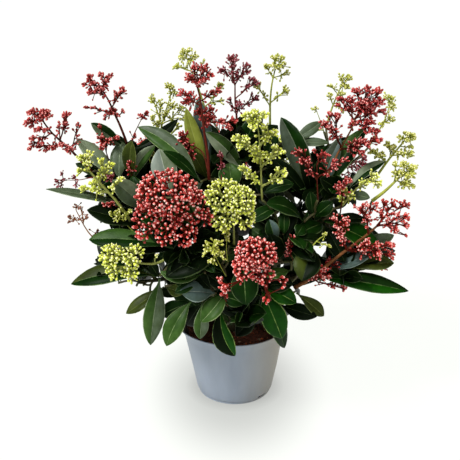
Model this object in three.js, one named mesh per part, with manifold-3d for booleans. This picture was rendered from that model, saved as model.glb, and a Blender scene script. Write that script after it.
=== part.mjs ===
// A skimmia in bud, in its nursery pot: pot, root ball, woody stems and boughs, masses of
// evergreen leaves, and panicles of red and green buds on their stalks.
// Millimetres, +Z up, origin at the middle of the pot's flat underside, -Y is the front.

import * as THREE from 'three';
import { mergeVertices } from 'three/addons/utils/BufferGeometryUtils.js';
import Module from 'manifold-3d';

const wasm = await Module();
wasm.setup();

// ---------------------------------------------------------------- driving dimensions

const GAP = 0.4; // clear space kept between neighbouring pieces
const WELD = 1e-4; // corners closer than this are one corner
const TURN = 2 * Math.PI;

// The pot tapers from its flared rim, and more below its waist, down to a rounded corner above
// a smaller, flat foot.
const POT = {
  height: 89.5,
  rimRadius: 62.5,
  lipDrop: 1.4, // height of the upright lip
  lipOut: 0.5, // how far the lip stands out
  flareDrop: 13, // height of the band that flares out to the rim
  flareStart: { rise: 4, out: 1.1 }, // where that band's curve has got to, above its foot
  neckRadius: 58.6, // outside of the wall just below that band
  waistHeight: 34,
  waistRadius: 52.2,
  cornerHeight: 5,
  cornerRadius: 46.6,
  footRadius: 44.6,
  footHeight: 3,
  footStep: { rise: 0.4, in: 0.8 }, // underside of the step over the foot
  wall: 1.4,
  floor: 1.8,
  facets: 24,
};
const DRAIN = { count: 6, width: 13, height: 3.4, depth: 8, sunk: 0.6 };
const SOIL = { level: 84.5, crown: 2, unevenness: 0.8, waves: [0.21, 0.17], rings: 4 };

// Limbs flare at the base: `flare` is the extra thickness there, and `flareLength` the part
// of the length over which it fades. A limb's curve bends `bend` of the way along.
const LIMB = { sides: 6, steps: 5, flare: 0.7, flareLength: 0.14, entry: 12, bend: 0.45 };
const STALK = { sides: 6, steps: 2, flare: 0.25, flareLength: 0.3, taper: 0.8, arch: 0.04 };
const FORK = { radius: 3.6, tip: 2.6, rise: 0.8 };
const MASS = { detail: 2, unevenness: 0.045, lobe: 0.42, clearance: 1.1 };
const HEAD = { detail: 1, unevenness: 0.05, broadening: 0.22, clearance: 0.8 };

const COLOURS = {
  plastic: { color: 0x8f9aa5, roughness: 0.45 },
  peat: { color: 0x2b1a12, roughness: 0.95 },
  bark: { color: 0x6b5636, roughness: 0.85 },
  leaf: { color: 0x20381a, roughness: 0.45 },
  redStalk: { color: 0x7a3a26, roughness: 0.6 },
  greenStalk: { color: 0x8b9440, roughness: 0.6 },
  redBud: { color: 0xa23f40, roughness: 0.4 },
  greenBud: { color: 0xb9c35e, roughness: 0.4 },
};

// Masses of leaves. Each is an uneven ball about its centre whose lobes run out to the tips
// of the longest leaves, and each stands on one limb of its own.
const MASSES = [
  {
    name: 'foliage_top', centre: [0, 15, 285], radii: [72, 66, 56],
    tips: [[54, 20, 334], [-52, 0, 350], [20, 70, 335]],
  },
  {
    name: 'foliage_left_high', centre: [-110, -10, 250], radii: [68, 66, 56],
    tips: [[-206, -40, 268], [-158, 0, 334], [-176, 10, 312], [-150, 80, 270]],
  },
  {
    name: 'foliage_left_low', centre: [-100, -55, 175], radii: [66, 60, 42],
    tips: [[-178, -80, 172], [-153, -85, 222], [-90, -100, 108], [-116, -92, 142]],
  },
  {
    name: 'foliage_front_left', centre: [-52, -82, 220], radii: [58, 58, 58],
    tips: [[-72, -150, 215], [-110, -125, 235]],
  },
  {
    name: 'foliage_front_right', centre: [50, -80, 218], radii: [58, 60, 60],
    tips: [[98, -125, 232], [60, -80, 300]],
  },
  {
    name: 'foliage_front_low', centre: [0, -78, 145], radii: [74, 50, 42],
    tips: [[3, -88, 88], [-72, -112, 112], [58, -72, 92], [100, -75, 128], [10, -150, 165]],
  },
  {
    name: 'foliage_right_high', centre: [108, -8, 250], radii: [68, 66, 56],
    tips: [[168, 0, 292], [186, -30, 232], [90, 20, 325], [160, 70, 280]],
  },
  {
    name: 'foliage_right_low', centre: [112, -45, 172], radii: [70, 60, 42],
    tips: [[195, -60, 155], [182, -50, 178], [150, 20, 160]],
  },
  {
    name: 'foliage_back_left', centre: [-66, 88, 205], radii: [76, 72, 74],
    tips: [[-150, 130, 190], [-60, 182, 165], [-95, 120, 300], [-70, 100, 108]],
  },
  {
    name: 'foliage_back_right', centre: [66, 90, 205], radii: [76, 72, 74],
    tips: [[155, 120, 185], [50, 185, 190], [100, 120, 300], [75, 95, 105]],
  },
];

// Stems rise from the root ball. Each ends where it enters its mass of leaves.
const STEMS = [
  { name: 'stem_left', foot: [-17, -2], into: 'foliage_left_high', radius: 5.2, tip: 3.2 },
  { name: 'stem_front', foot: [-5, -17], into: 'foliage_front_left', radius: 4.6, tip: 3 },
  { name: 'stem_middle', foot: [1, 3], into: 'foliage_top', radius: 5.6, tip: 3.4 },
  { name: 'stem_right', foot: [17, -4], into: 'foliage_right_high', radius: 5.2, tip: 3.2 },
  { name: 'stem_back', foot: [-3, 19], into: 'foliage_back_left', radius: 5, tip: 3.2 },
];

// Boughs fork from a stem, a given part of the way along it.
const BOUGHS = [
  { name: 'bough_left_low', from: 'stem_left', at: 0.38, into: 'foliage_left_low' },
  { name: 'bough_front_low', from: 'stem_front', at: 0.3, into: 'foliage_front_low' },
  { name: 'bough_front_right', from: 'stem_middle', at: 0.28, into: 'foliage_front_right' },
  { name: 'bough_right_low', from: 'stem_right', at: 0.38, into: 'foliage_right_low' },
  { name: 'bough_back_right', from: 'stem_back', at: 0.3, into: 'foliage_back_right' },
];

// Flower heads: the foot of the stalk, the tip of the head, how wide the head is, and how
// much of that length is bare stalk. A stalk with a radius shows above the leaves.
const HEADS = [
  { name: 'red_left_high', foot: [-158, -10, 280], tip: [-218, -15, 345], width: 58, bare: 0.2, stalk: 1.9 },
  { name: 'red_left_top', foot: [-118, 20, 303], tip: [-150, 20, 386], width: 54, bare: 0.32, stalk: 1.8 },
  { name: 'red_top', foot: [-27, -50, 285], tip: [-37, -50, 404], width: 52, bare: 0.28, stalk: 2.6 },
  { name: 'red_back_top', foot: [-1, 50, 317], tip: [0, 50, 402], width: 46, bare: 0.18, stalk: 1.8 },
  { name: 'red_right_top', foot: [102, 0, 242], tip: [150, 0, 376], width: 72, bare: 0.36, stalk: 2.6 },
  { name: 'red_right', foot: [79, -60, 171], tip: [190, -62, 258], width: 74, bare: 0.42, stalk: 2.8 },
  { name: 'red_right_inner', foot: [90, -78, 278], tip: [88, -82, 330], width: 58, bare: 0.42 },
  { name: 'red_front_left', foot: [-45, -95, 230], tip: [-66, -162, 292], width: 80, bare: 0.35 },
  { name: 'red_front_right', foot: [28, -105, 195], tip: [20, -180, 246], width: 58, bare: 0.35 },
  { name: 'red_back_left', foot: [-75, 125, 205], tip: [-125, 150, 278], width: 54, bare: 0.3 },
  { name: 'red_back', foot: [15, 140, 225], tip: [10, 190, 270], width: 66, bare: 0.3 },
  { name: 'red_back_right', foot: [105, 110, 225], tip: [165, 125, 265], width: 54, bare: 0.3 },
  { name: 'green_left', foot: [-115, -60, 250], tip: [-160, -60, 320], width: 34, bare: 0.35, stalk: 2.2 },
  { name: 'green_back_left', foot: [-66, 70, 300], tip: [-80, 80, 366], width: 44, bare: 0.3, stalk: 1.6 },
  { name: 'green_back_top', foot: [-33, 60, 345], tip: [-47, 60, 410], width: 38, bare: 0.35, stalk: 1.5 },
  { name: 'green_back_right', foot: [36, 60, 318], tip: [49, 60, 402], width: 42, bare: 0.22, stalk: 1.7 },
  { name: 'green_front_top', foot: [30, -82, 270], tip: [22, -92, 370], width: 50, bare: 0.3 },
  { name: 'green_front', foot: [2, -90, 235], tip: [-2, -155, 295], width: 60, bare: 0.35 },
  { name: 'green_front_left', foot: [-85, -90, 205], tip: [-132, -125, 220], width: 46, bare: 0.25 },
  { name: 'green_right_back', foot: [116, 60, 300], tip: [133, 70, 378], width: 34, bare: 0.2 },
  { name: 'green_right_far', foot: [165, 50, 290], tip: [180, 60, 356], width: 26, bare: 0.3 },
  { name: 'green_right_high', foot: [155, 10, 252], tip: [204, 10, 322], width: 44, bare: 0.35, stalk: 2.2 },
  { name: 'green_right', foot: [150, -22, 240], tip: [204, -22, 292], width: 34, bare: 0.4, stalk: 2 },
  { name: 'green_right_inner', foot: [118, -50, 250], tip: [152, -52, 290], width: 38, bare: 0.2 },
  { name: 'green_back_low_left', foot: [-125, 95, 205], tip: [-178, 110, 245], width: 46, bare: 0.3 },
  { name: 'green_back', foot: [60, 130, 222], tip: [75, 165, 278], width: 50, bare: 0.3 },
];

// ---------------------------------------------------------------- solids

const vector = ([x, y, z]) => new THREE.Vector3(x, y, z);

/** The closed body of a geometry, its corners welded by place alone. */
function solidOf(geometry) {
  geometry.deleteAttribute('normal');
  geometry.deleteAttribute('uv');
  const welded = mergeVertices(geometry, WELD);
  return new wasm.Manifold(new wasm.Mesh({
    numProp: 3,
    vertProperties: new Float32Array(welded.attributes.position.array),
    triVerts: new Uint32Array(welded.index.array),
  }));
}

/** A geometry that holds a body's corners and faces. */
function geometryOf(body) {
  const mesh = body.getMesh();
  const geometry = new THREE.BufferGeometry();
  geometry.setAttribute('position', new THREE.BufferAttribute(mesh.vertProperties, 3));
  geometry.setIndex(new THREE.BufferAttribute(mesh.triVerts, 1));
  geometry.computeVertexNormals();
  return geometry;
}

/** Moves every corner of a geometry to where `place` puts it. */
function reshaped(geometry, place) {
  const corners = geometry.attributes.position;
  const corner = new THREE.Vector3();
  for (let i = 0; i < corners.count; i += 1) {
    corner.fromBufferAttribute(corners, i);
    place(corner);
    corners.setXYZ(i, corner.x, corner.y, corner.z);
  }
  return geometry;
}

/** The biggest of the bodies that a cut leaves. */
function biggest(body) {
  const parts = body.decompose();
  return parts.reduce((best, part) => (part.volume() > best.volume() ? part : best));
}

/** Turns a profile of [radius, height] points once round the +Z axis. */
function turned(profile, facets) {
  const points = profile.map(([radius, height]) => new THREE.Vector2(radius, height));
  return new THREE.LatheGeometry(points, facets).rotateX(Math.PI / 2);
}

/** A smooth ripple over directions, from about -1 to 1, different for each seed. */
function ripple({ x, y, z }, seed) {
  const waves = [
    Math.sin(3.3 * x + 1.7 * y + seed),
    Math.sin(3.9 * y - 1.3 * z + 2.1 * seed),
    Math.sin(4.3 * z + 2.2 * x + 3.7 * seed),
  ];
  return (waves[0] + waves[1] + waves[2]) / waves.length;
}

// ---------------------------------------------------------------- pot and root ball

/** Inside radius of the pot at a height above its floor. */
function insideRadius(height) {
  const rise = (height - POT.waistHeight) / (POT.height - POT.flareDrop - POT.waistHeight);
  const drop = (POT.waistHeight - height) / (POT.waistHeight - POT.cornerHeight);
  const outside = rise > 0
    ? THREE.MathUtils.lerp(POT.waistRadius, POT.neckRadius, rise)
    : THREE.MathUtils.lerp(POT.waistRadius, POT.cornerRadius, drop);
  return outside - POT.wall;
}

/** Outside of the pot from the middle of its underside up to its lip. */
function outerProfile(grow) {
  const flareFoot = POT.height - POT.flareDrop;
  const lipFoot = POT.height - POT.lipDrop;
  return [
    [0, -grow],
    [POT.footRadius + grow, -grow],
    [POT.footRadius + grow, POT.footHeight],
    [POT.cornerRadius - POT.footStep.in + grow, POT.footHeight + POT.footStep.rise],
    [POT.cornerRadius + grow, POT.cornerHeight],
    [POT.waistRadius + grow, POT.waistHeight],
    [POT.neckRadius + grow, flareFoot],
    [POT.neckRadius + POT.flareStart.out + grow, flareFoot + POT.flareStart.rise],
    [POT.rimRadius - POT.lipOut + grow, lipFoot - POT.lipOut],
    [POT.rimRadius + grow, lipFoot],
    [POT.rimRadius + grow, POT.height + grow],
  ];
}

/** Slots round the bottom corner, through the foot of the wall and the edge of the floor. */
function drainSlots() {
  const slots = [];
  for (let i = 0; i < DRAIN.count; i += 1) {
    const slot = new THREE.BoxGeometry(DRAIN.depth, DRAIN.width, DRAIN.height);
    slot.translate(POT.footRadius, 0, POT.footHeight + DRAIN.height / 2 - DRAIN.sunk);
    slot.rotateZ(((i + 0.5) / DRAIN.count) * TURN);
    slots.push(solidOf(slot));
  }
  return slots;
}

/** The open pot: a thin tapered cup with a flared rim, a stepped foot and drain slots. */
function potSolid() {
  const inside = [
    [POT.rimRadius - POT.wall, POT.height],
    [POT.rimRadius - POT.wall - POT.lipOut, POT.height - POT.lipDrop],
    [POT.neckRadius - POT.wall, POT.height - POT.flareDrop],
    [POT.waistRadius - POT.wall, POT.waistHeight],
    [insideRadius(POT.cornerHeight), POT.cornerHeight],
    [POT.footRadius - POT.wall, POT.floor],
    [0, POT.floor],
  ];
  const cup = solidOf(turned([...outerProfile(0), ...inside], POT.facets));
  return drainSlots().reduce((body, slot) => body.subtract(slot), cup);
}

/** The peat that fills the pot, with a low uneven top. */
function rootBallGeometry() {
  const radius = insideRadius(SOIL.level) - GAP;
  const profile = [
    [0, POT.floor + GAP],
    [POT.footRadius - POT.wall - 2 * GAP, POT.floor + GAP],
    [insideRadius(POT.cornerHeight) - 2 * GAP, POT.cornerHeight + GAP],
    [POT.waistRadius - POT.wall - 2 * GAP, POT.waistHeight],
    [insideRadius(POT.height - POT.flareDrop) - GAP, POT.height - POT.flareDrop],
  ];
  for (let ring = SOIL.rings; ring >= 0; ring -= 1) {
    const part = ring / SOIL.rings;
    profile.push([radius * part, SOIL.level + SOIL.crown * (1 - part * part)]);
  }
  const [alongX, alongY] = SOIL.waves;
  return reshaped(turned(profile, POT.facets), (corner) => {
    if (corner.z > SOIL.level + GAP) {
      corner.z += SOIL.unevenness * Math.sin(alongX * corner.x) * Math.cos(alongY * corner.y);
    }
  });
}

// ---------------------------------------------------------------- limbs

/** A round limb along a curve, tapering from its flared base to its tip, both cut square. */
function limbGeometry(curve, base, tip, style, grow) {
  const tube = new THREE.CylinderGeometry(1, 1, 1, style.sides, style.steps);
  tube.rotateX(Math.PI / 2).translate(0, 0, 0.5);
  const upright = new THREE.Vector3(0, 0, 1);
  return reshaped(tube, (corner) => {
    const along = THREE.MathUtils.clamp(corner.z, 0, 1);
    const flare = 1 + style.flare * Math.exp(-along / style.flareLength);
    const radius = THREE.MathUtils.lerp(base, tip, along) * flare + grow;
    const turn = new THREE.Quaternion().setFromUnitVectors(upright, curve.getTangentAt(along));
    corner.set(corner.x * radius, corner.y * radius, 0).applyQuaternion(turn);
    corner.add(curve.getPointAt(along));
  });
}

/** The place where a line from `start` enters a mass, and a little way on. */
function entryPoint(start, mass) {
  const centre = vector(mass.centre);
  const out = start.clone().sub(centre);
  const surface = 1 / out.clone().divide(vector(mass.radii)).length();
  return centre.add(out.multiplyScalar(surface - LIMB.entry / out.length()));
}

/** A curve that leaves `start` along `heading` and bends over to `end`. */
function bentCurve(start, heading, end) {
  const bend = start.clone().addScaledVector(heading, start.distanceTo(end) * LIMB.bend);
  return new THREE.QuadraticBezierCurve3(start, bend, end);
}

/** The curves of all stems and boughs, by name. */
function limbCurves() {
  const curves = {};
  const massNamed = (name) => MASSES.find((mass) => mass.name === name);
  for (const { name, foot, into } of STEMS) {
    const start = new THREE.Vector3(foot[0], foot[1], SOIL.level + SOIL.crown + 2 * GAP);
    const end = entryPoint(start, massNamed(into));
    curves[name] = bentCurve(start, new THREE.Vector3(0, 0, 1), end);
  }
  for (const { name, from, at, into } of BOUGHS) {
    const start = curves[from].getPointAt(at);
    const end = entryPoint(start, massNamed(into));
    const outward = end.clone().sub(start).setZ(0).normalize();
    curves[name] = bentCurve(start, outward.setZ(FORK.rise).normalize(), end);
  }
  return curves;
}

/** The stalk of a flower head, from its foot to where the buds begin. */
function stalkCurve({ foot, tip, bare }) {
  const start = vector(foot);
  const end = start.clone().lerp(vector(tip), bare);
  const bend = start.clone().add(end).divideScalar(2);
  bend.z += STALK.arch * start.distanceTo(end);
  return new THREE.QuadraticBezierCurve3(start, bend, end);
}

// ---------------------------------------------------------------- leaves and flower heads

/** How far a mass reaches along one corner's direction, drawn out towards its leaf tips. */
function drawnOut(direction, plain, tips) {
  let reach = plain;
  for (const tip of tips) {
    const off = direction.angleTo(tip) / MASS.lobe;
    reach = Math.max(reach, plain + (tip.length() - plain) * Math.exp(-off * off));
  }
  return reach;
}

/** One uneven mass of leaves, with a lobe to each tip. */
function massGeometry({ centre, radii, tips }, seed, grow) {
  const middle = vector(centre);
  const size = vector(radii);
  const drawn = tips.map((tip) => vector(tip).sub(middle).divide(size));
  const ball = new THREE.IcosahedronGeometry(1, MASS.detail);
  return reshaped(ball, (corner) => {
    const direction = corner.clone().normalize();
    const plain = 1 + MASS.unevenness * ripple(direction, seed);
    corner.copy(direction).multiplyScalar(drawnOut(direction, plain, drawn)).multiply(size);
    corner.setLength(corner.length() + grow).add(middle);
  });
}

/** One head of buds: an uneven dome, broader towards its tip. */
function headGeometry({ foot, tip, width, bare }, seed, grow) {
  const start = vector(foot).lerp(vector(tip), bare);
  const axis = vector(tip).sub(start);
  const turn = new THREE.Quaternion();
  turn.setFromUnitVectors(new THREE.Vector3(0, 0, 1), axis.clone().normalize());
  const ball = new THREE.IcosahedronGeometry(1, HEAD.detail);
  return reshaped(ball, (corner) => {
    const swell = 1 + HEAD.unevenness * ripple(corner, seed);
    const broad = swell * (1 + HEAD.broadening * corner.z) * (width / 2);
    corner.set(corner.x * broad, corner.y * broad, (corner.z * axis.length()) / 2);
    corner.setLength(corner.length() + grow).applyQuaternion(turn);
    corner.add(start).addScaledVector(axis, 0.5);
  });
}

// ---------------------------------------------------------------- assembly

const plant = new THREE.Group();
plant.name = 'potted_skimmia';
const taken = []; // the room of each piece placed so far, its gap included

/** Adds a named piece to the plant. */
function add(name, finish, body) {
  const material = new THREE.MeshStandardMaterial({ metalness: 0, ...finish });
  const mesh = new THREE.Mesh(geometryOf(body), material);
  mesh.name = name;
  plant.add(mesh);
}

/** Adds a piece cut clear of all the room taken before it, then takes its own. */
function place(name, finish, shape, clearance) {
  const clear = taken.reduce((rest, room) => rest.subtract(room), solidOf(shape(0)));
  add(name, finish, biggest(clear));
  taken.push(solidOf(shape(clearance)));
}

/** Adds a limb along a curve, tapering from one radius to another. */
function placeLimb(name, finish, curve, base, tip, style) {
  place(name, finish, (grow) => limbGeometry(curve, base, tip, style, grow), GAP);
}

add('pot', COLOURS.plastic, potSolid());
add('root_ball', COLOURS.peat, solidOf(rootBallGeometry()));

const curves = limbCurves();
for (const { name, radius, tip } of STEMS) {
  placeLimb(name, COLOURS.bark, curves[name], radius, tip, LIMB);
}
for (const { name } of BOUGHS) {
  placeLimb(name, COLOURS.bark, curves[name], FORK.radius, FORK.tip, LIMB);
}

// From here on the pieces also keep clear of the pot, which the stems stand in.
const potRoom = [...outerProfile(GAP), [0, POT.height + GAP]];
taken.push(solidOf(turned(potRoom, POT.facets)));

for (const head of HEADS.filter(({ stalk }) => stalk)) {
  const finish = head.name.startsWith('red') ? COLOURS.redStalk : COLOURS.greenStalk;
  const tip = head.stalk * STALK.taper;
  placeLimb(`stalk_${head.name}`, finish, stalkCurve(head), head.stalk, tip, STALK);
}
HEADS.forEach((head, seed) => {
  const finish = head.name.startsWith('red') ? COLOURS.redBud : COLOURS.greenBud;
  place(`buds_${head.name}`, finish, (grow) => headGeometry(head, seed, grow), HEAD.clearance);
});
MASSES.forEach((mass, seed) => {
  place(mass.name, COLOURS.leaf, (grow) => massGeometry(mass, seed, grow), MASS.clearance);
});

export default plant;
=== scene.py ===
"""The looks of a potted skimmia in bud: pot, peat, limbs, leaves and flower heads.

Sizes and places are in millimetres until a mesh is written. +Z is up and -Y is the front.
"""

import logging
import math
from dataclasses import dataclass, field
from enum import Enum

import bmesh
import bpy
import numpy as np
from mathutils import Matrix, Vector, noise
from mathutils.bvhtree import BVHTree


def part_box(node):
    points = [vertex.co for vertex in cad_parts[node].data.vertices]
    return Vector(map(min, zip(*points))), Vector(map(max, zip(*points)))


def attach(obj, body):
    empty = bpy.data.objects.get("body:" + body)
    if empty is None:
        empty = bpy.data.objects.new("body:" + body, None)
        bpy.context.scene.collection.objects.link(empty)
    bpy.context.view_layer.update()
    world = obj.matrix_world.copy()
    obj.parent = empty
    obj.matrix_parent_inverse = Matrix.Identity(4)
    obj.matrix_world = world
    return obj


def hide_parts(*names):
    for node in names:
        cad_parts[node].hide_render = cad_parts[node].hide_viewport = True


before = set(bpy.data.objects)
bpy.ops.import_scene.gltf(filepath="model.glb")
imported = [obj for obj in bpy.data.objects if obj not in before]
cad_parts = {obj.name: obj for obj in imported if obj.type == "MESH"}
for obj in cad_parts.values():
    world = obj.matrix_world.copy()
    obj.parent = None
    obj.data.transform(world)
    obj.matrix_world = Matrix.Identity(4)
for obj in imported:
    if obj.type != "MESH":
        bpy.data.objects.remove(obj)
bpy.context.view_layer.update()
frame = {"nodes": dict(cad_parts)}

LOG = logging.getLogger("skimmia")
MM = 0.001  # metres in a millimetre
UP = np.array([0.0, 0.0, 1.0])
GOLDEN_ANGLE = math.pi * (3 - math.sqrt(5))

Array = np.ndarray
Form = bmesh.types.BMesh
Pair = tuple[float, float]
Place = tuple[float, float, float]
Pixel = Pair
Span = tuple[float, float, float, float]  # left, right, top and bottom pixels


# ---- small helpers


def linear(colour: str) -> tuple[float, float, float, float]:
    """Turns an sRGB colour to the linear one that a shader takes.

    Args:
        colour: the colour as #rrggbb.

    Returns:
        Red, green, blue and an alpha of 1.
    """
    channels = [int(colour[i : i + 2], 16) / 255 for i in (1, 3, 5)]
    bright = [c / 12.92 if c <= 0.04045 else ((c + 0.055) / 1.055) ** 2.4 for c in channels]
    return (*bright, 1.0)


def add_node(
    tree: bpy.types.NodeTree,
    kind: str,
    settings: dict[str | int, object] | None = None,
    links: dict[str | int, tuple[bpy.types.Node, str | int]] | None = None,
) -> bpy.types.Node:
    """Adds a shader node with its settings and links.

    Args:
        tree: the node tree that takes the node.
        kind: the node's type, without its prefix.
        settings: values by input or by property, the properties first.
        links: the node and output that feed each input.

    Returns:
        The new node.
    """
    node = tree.nodes.new(f"ShaderNode{kind}")
    for name, value in (settings or {}).items():
        if isinstance(name, int) or name in node.inputs:
            node.inputs[name].default_value = value
        else:
            setattr(node, name, value)
    for name, (source, output) in (links or {}).items():
        tree.links.new(source.outputs[output], node.inputs[name])
    return node


def new_material(name: str, sockets: dict[str, object]) -> tuple[bpy.types.Material, bpy.types.Node]:
    """Starts a material.

    Args:
        name: the material's name.
        sockets: values for its shader's inputs.

    Returns:
        The material and its shader.
    """
    made = bpy.data.materials.new(name)
    made.use_nodes = True
    shader = made.node_tree.nodes["Principled BSDF"]
    for socket, value in sockets.items():
        shader.inputs[socket].default_value = value
    return made, shader


def placed(name: str, data: bpy.types.ID) -> bpy.types.Object:
    """Puts data in the scene as an object.

    Args:
        name: the object's name.
        data: its mesh, lamp or camera.

    Returns:
        The object.
    """
    made = bpy.data.objects.new(name, data)
    bpy.context.scene.collection.objects.link(made)
    return made


def written(form: Form, name: str) -> bpy.types.Mesh:
    """Writes a bmesh to a mesh in metres, and frees it.

    Args:
        form: the bmesh, in mm.
        name: the mesh's name.

    Returns:
        The mesh.
    """
    bmesh.ops.scale(form, verts=form.verts, vec=(MM, MM, MM))
    mesh = bpy.data.meshes.new(name)
    form.to_mesh(mesh)
    form.free()
    return mesh


def spun(section: list[Pair], facets: int) -> Form:
    """Turns a section right round Z.

    Args:
        section: its points, as radius and height.
        facets: how many steps the turn has.

    Returns:
        The closed form, with its faces outwards.
    """
    form = bmesh.new()
    points = [form.verts.new((radius, 0, height)) for radius, height in section]
    for one, other in zip(points, points[1:]):
        form.edges.new((one, other))
    bmesh.ops.spin(
        form, geom=[*form.verts, *form.edges], axis=(0, 0, 1), cent=(0, 0, 0),
        angle=2 * math.pi, steps=facets, use_merge=True,
    )
    bmesh.ops.remove_doubles(form, verts=form.verts, dist=0.01)
    bmesh.ops.recalc_face_normals(form, faces=form.faces)
    return form


def unit(rows: Array) -> Array:
    """Scales each vector, on the last axis, to a length of 1."""
    return rows / np.maximum(np.linalg.norm(rows, axis=-1, keepdims=True), 1e-9)


def across(axes: Array) -> tuple[Array, Array]:
    """Gives two directions square to each axis and to each other.

    Args:
        axes: the axes, one in each row.

    Returns:
        The first and the second direction, in rows like the axes.
    """
    helper = np.where(np.abs(axes[..., 2:]) < 0.9, UP, np.array([1.0, 0.0, 0.0]))
    first = unit(np.cross(axes, helper))
    return first, np.cross(axes, first)


def cap_directions(count: int, axis: Array, lowest: float, turn: float = 0.0) -> Array:
    """Spreads directions evenly over a cap of the sphere.

    Args:
        count: how many directions.
        axis: the middle of the cap, of length 1.
        lowest: the cosine of the angle from the axis at the cap's edge.
        turn: an angle that turns the pattern round the axis.

    Returns:
        The directions, one in each row.
    """
    steps = np.arange(count)
    height = 1 - (1 - lowest) * (steps + 0.5) / count
    ring = np.sqrt(np.maximum(1 - height**2, 0))
    angle = steps * GOLDEN_ANGLE + turn
    first, second = across(axis)
    return (
        height[:, None] * axis
        + (ring * np.cos(angle))[:, None] * first
        + (ring * np.sin(angle))[:, None] * second
    )


def looking(face: Pair) -> Array:
    """Turns a pair of degrees, round from the front and up, to a direction."""
    turn, rise = (math.radians(angle) for angle in face)
    return np.array([math.sin(turn) * math.cos(rise), -math.cos(turn) * math.cos(rise), math.sin(rise)])


def bezier(start: Array, bend: Array, end: Array, count: int) -> Array:
    """Gives a number of points on a curve that leaves the start towards the bend."""
    t = np.linspace(0, 1, count)[:, None]
    return start * (1 - t) ** 2 + bend * 2 * t * (1 - t) + end * t**2


def resampled(points: Array, count: int) -> Array:
    """Spaces points evenly along a smoothed line.

    Args:
        points: the line's own points, one in each row.
        count: how many points to give back.

    Returns:
        The new points.
    """
    for _ in range(2):
        quarter = points[:-1] * 0.75 + points[1:] * 0.25
        last = points[:-1] * 0.25 + points[1:] * 0.75
        between = np.stack([quarter, last], 1).reshape(-1, 3)
        points = np.vstack([points[:1], between, points[-1:]])
    steps = np.linalg.norm(np.diff(points, axis=0), axis=1)
    run = np.concatenate([[0], np.cumsum(steps)])
    wanted = np.linspace(0, run[-1], count)
    return np.stack([np.interp(wanted, run, points[:, k]) for k in range(3)], 1)


def parted(goals: Array) -> tuple[Array, Array]:
    """Parts places in two halves, across the way in which they spread the most.

    Args:
        goals: the places, one in each row.

    Returns:
        The two halves.
    """
    apart = goals - goals.mean(0)
    order = np.argsort(apart @ np.linalg.svd(apart)[2][0])
    half = len(goals) // 2
    return goals[order[:half]], goals[order[half:]]


def dressed(name: str, mesh: bpy.types.Mesh, finishes: list["Finish"], nodes: list[str]) -> None:
    """Makes a finished mesh a piece of the plant.

    Args:
        name: the piece's name.
        mesh: the finished mesh, in metres and in place.
        finishes: its finishes, by slot number.
        nodes: the CAD nodes that it stands for.
    """
    piece = placed(name, mesh)
    for finish in finishes:
        mesh.materials.append(finish.material())
    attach(piece, "root")
    if nodes:
        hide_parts(*nodes)
    triangles = sum(len(polygon.vertices) - 2 for polygon in mesh.polygons)
    LOG.info("%s: %d triangles, stands for %d nodes", name, triangles, len(nodes))


def nodes_named(*starts: str) -> list[str]:
    """Lists the CAD nodes whose names start with one of some words."""
    return sorted(node for node in frame["nodes"] if node.startswith(starts))


def corners_of(node: str) -> Array:
    """Reads the corners of a CAD node in millimetres."""
    return np.array([tuple(v.co) for v in frame["nodes"][node].data.vertices]) / MM


# ---- finishes


@dataclass(frozen=True)
class Finish:
    """A surface: two colours that patches pass between, its gloss and its fine relief."""

    name: str
    colour: str
    second: str  # the colour of the patches
    roughness: float
    patch: float = 12.0  # mm across a patch
    grain: float = 1.0  # mm across a grain of the relief
    relief: float = 0.05  # mm from its lows to its highs
    stretch: float = 1.0  # how far both patterns are drawn out along Z
    ior: float = 1.45
    specular: float = 0.5
    subsurface: float = 0.0
    even: float = 0.5  # how much of the surface keeps the first colour
    blend: float = 0.15  # how softly the colours pass into each other
    # The colour of a painted shade, darker and warmer, that it takes on towards +X.
    painted_side_shade: str | None = None  # the colour that it takes on towards +X
    painted_side_shade_run: Pair = (0.0, 1.0)  # mm along X over which that comes on

    def material(self) -> bpy.types.Material:
        """Makes the material, or gives back the one already made.

        Returns:
            The material.
        """
        if self.name in bpy.data.materials:
            return bpy.data.materials[self.name]
        made, shader = new_material(self.name, {
            "Roughness": self.roughness, "IOR": self.ior, "Specular IOR Level": self.specular,
            "Subsurface Weight": self.subsurface, "Subsurface Radius": (0.6, 0.3, 0.15),
            "Subsurface Scale": 2 * MM,
        })
        tree = made.node_tree
        place = add_node(tree, "TexCoord")
        drawn = {"Scale": (1, 1, 1 / self.stretch)}
        along = {"Vector": (add_node(tree, "Mapping", drawn, {"Vector": (place, "Object")}), "Vector")}
        noisy = {"Scale": 1 / (self.patch * MM), "Detail": 3.0, "Roughness": 0.6}
        patches = {"Value": (add_node(tree, "TexNoise", noisy, along), "Fac")}
        ends = {"From Min": self.even - self.blend, "From Max": self.even + self.blend}
        edge = add_node(tree, "MapRange", ends, patches)
        colours = {"data_type": "RGBA", 6: linear(self.colour), 7: linear(self.second)}
        mix = add_node(tree, "Mix", colours, {0: (edge, "Result")})
        # Painted shade: the colour passes along +X towards a darker, warmer one.
        if self.painted_side_shade:
            apart = add_node(tree, "SeparateXYZ", links={"Vector": (place, "Object")})
            run = {"From Min": self.painted_side_shade_run[0] * MM, "From Max": self.painted_side_shade_run[1] * MM, "To Max": 0.85}
            share = add_node(tree, "MapRange", run, {"Value": (apart, "X")})
            painted_shade_colours = {"data_type": "RGBA", 7: linear(self.painted_side_shade)}
            mix = add_node(tree, "Mix", painted_shade_colours, {0: (share, "Result"), 6: (mix, 2)})
        tree.links.new(mix.outputs[2], shader.inputs["Base Color"])
        grains = add_node(tree, "TexNoise", {"Scale": 1 / (self.grain * MM), "Detail": 2.0}, along)
        bump = add_node(tree, "Bump", {"Distance": self.relief * MM}, {"Height": (grains, "Fac")})
        tree.links.new(bump.outputs["Normal"], shader.inputs["Normal"])
        return made
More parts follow.
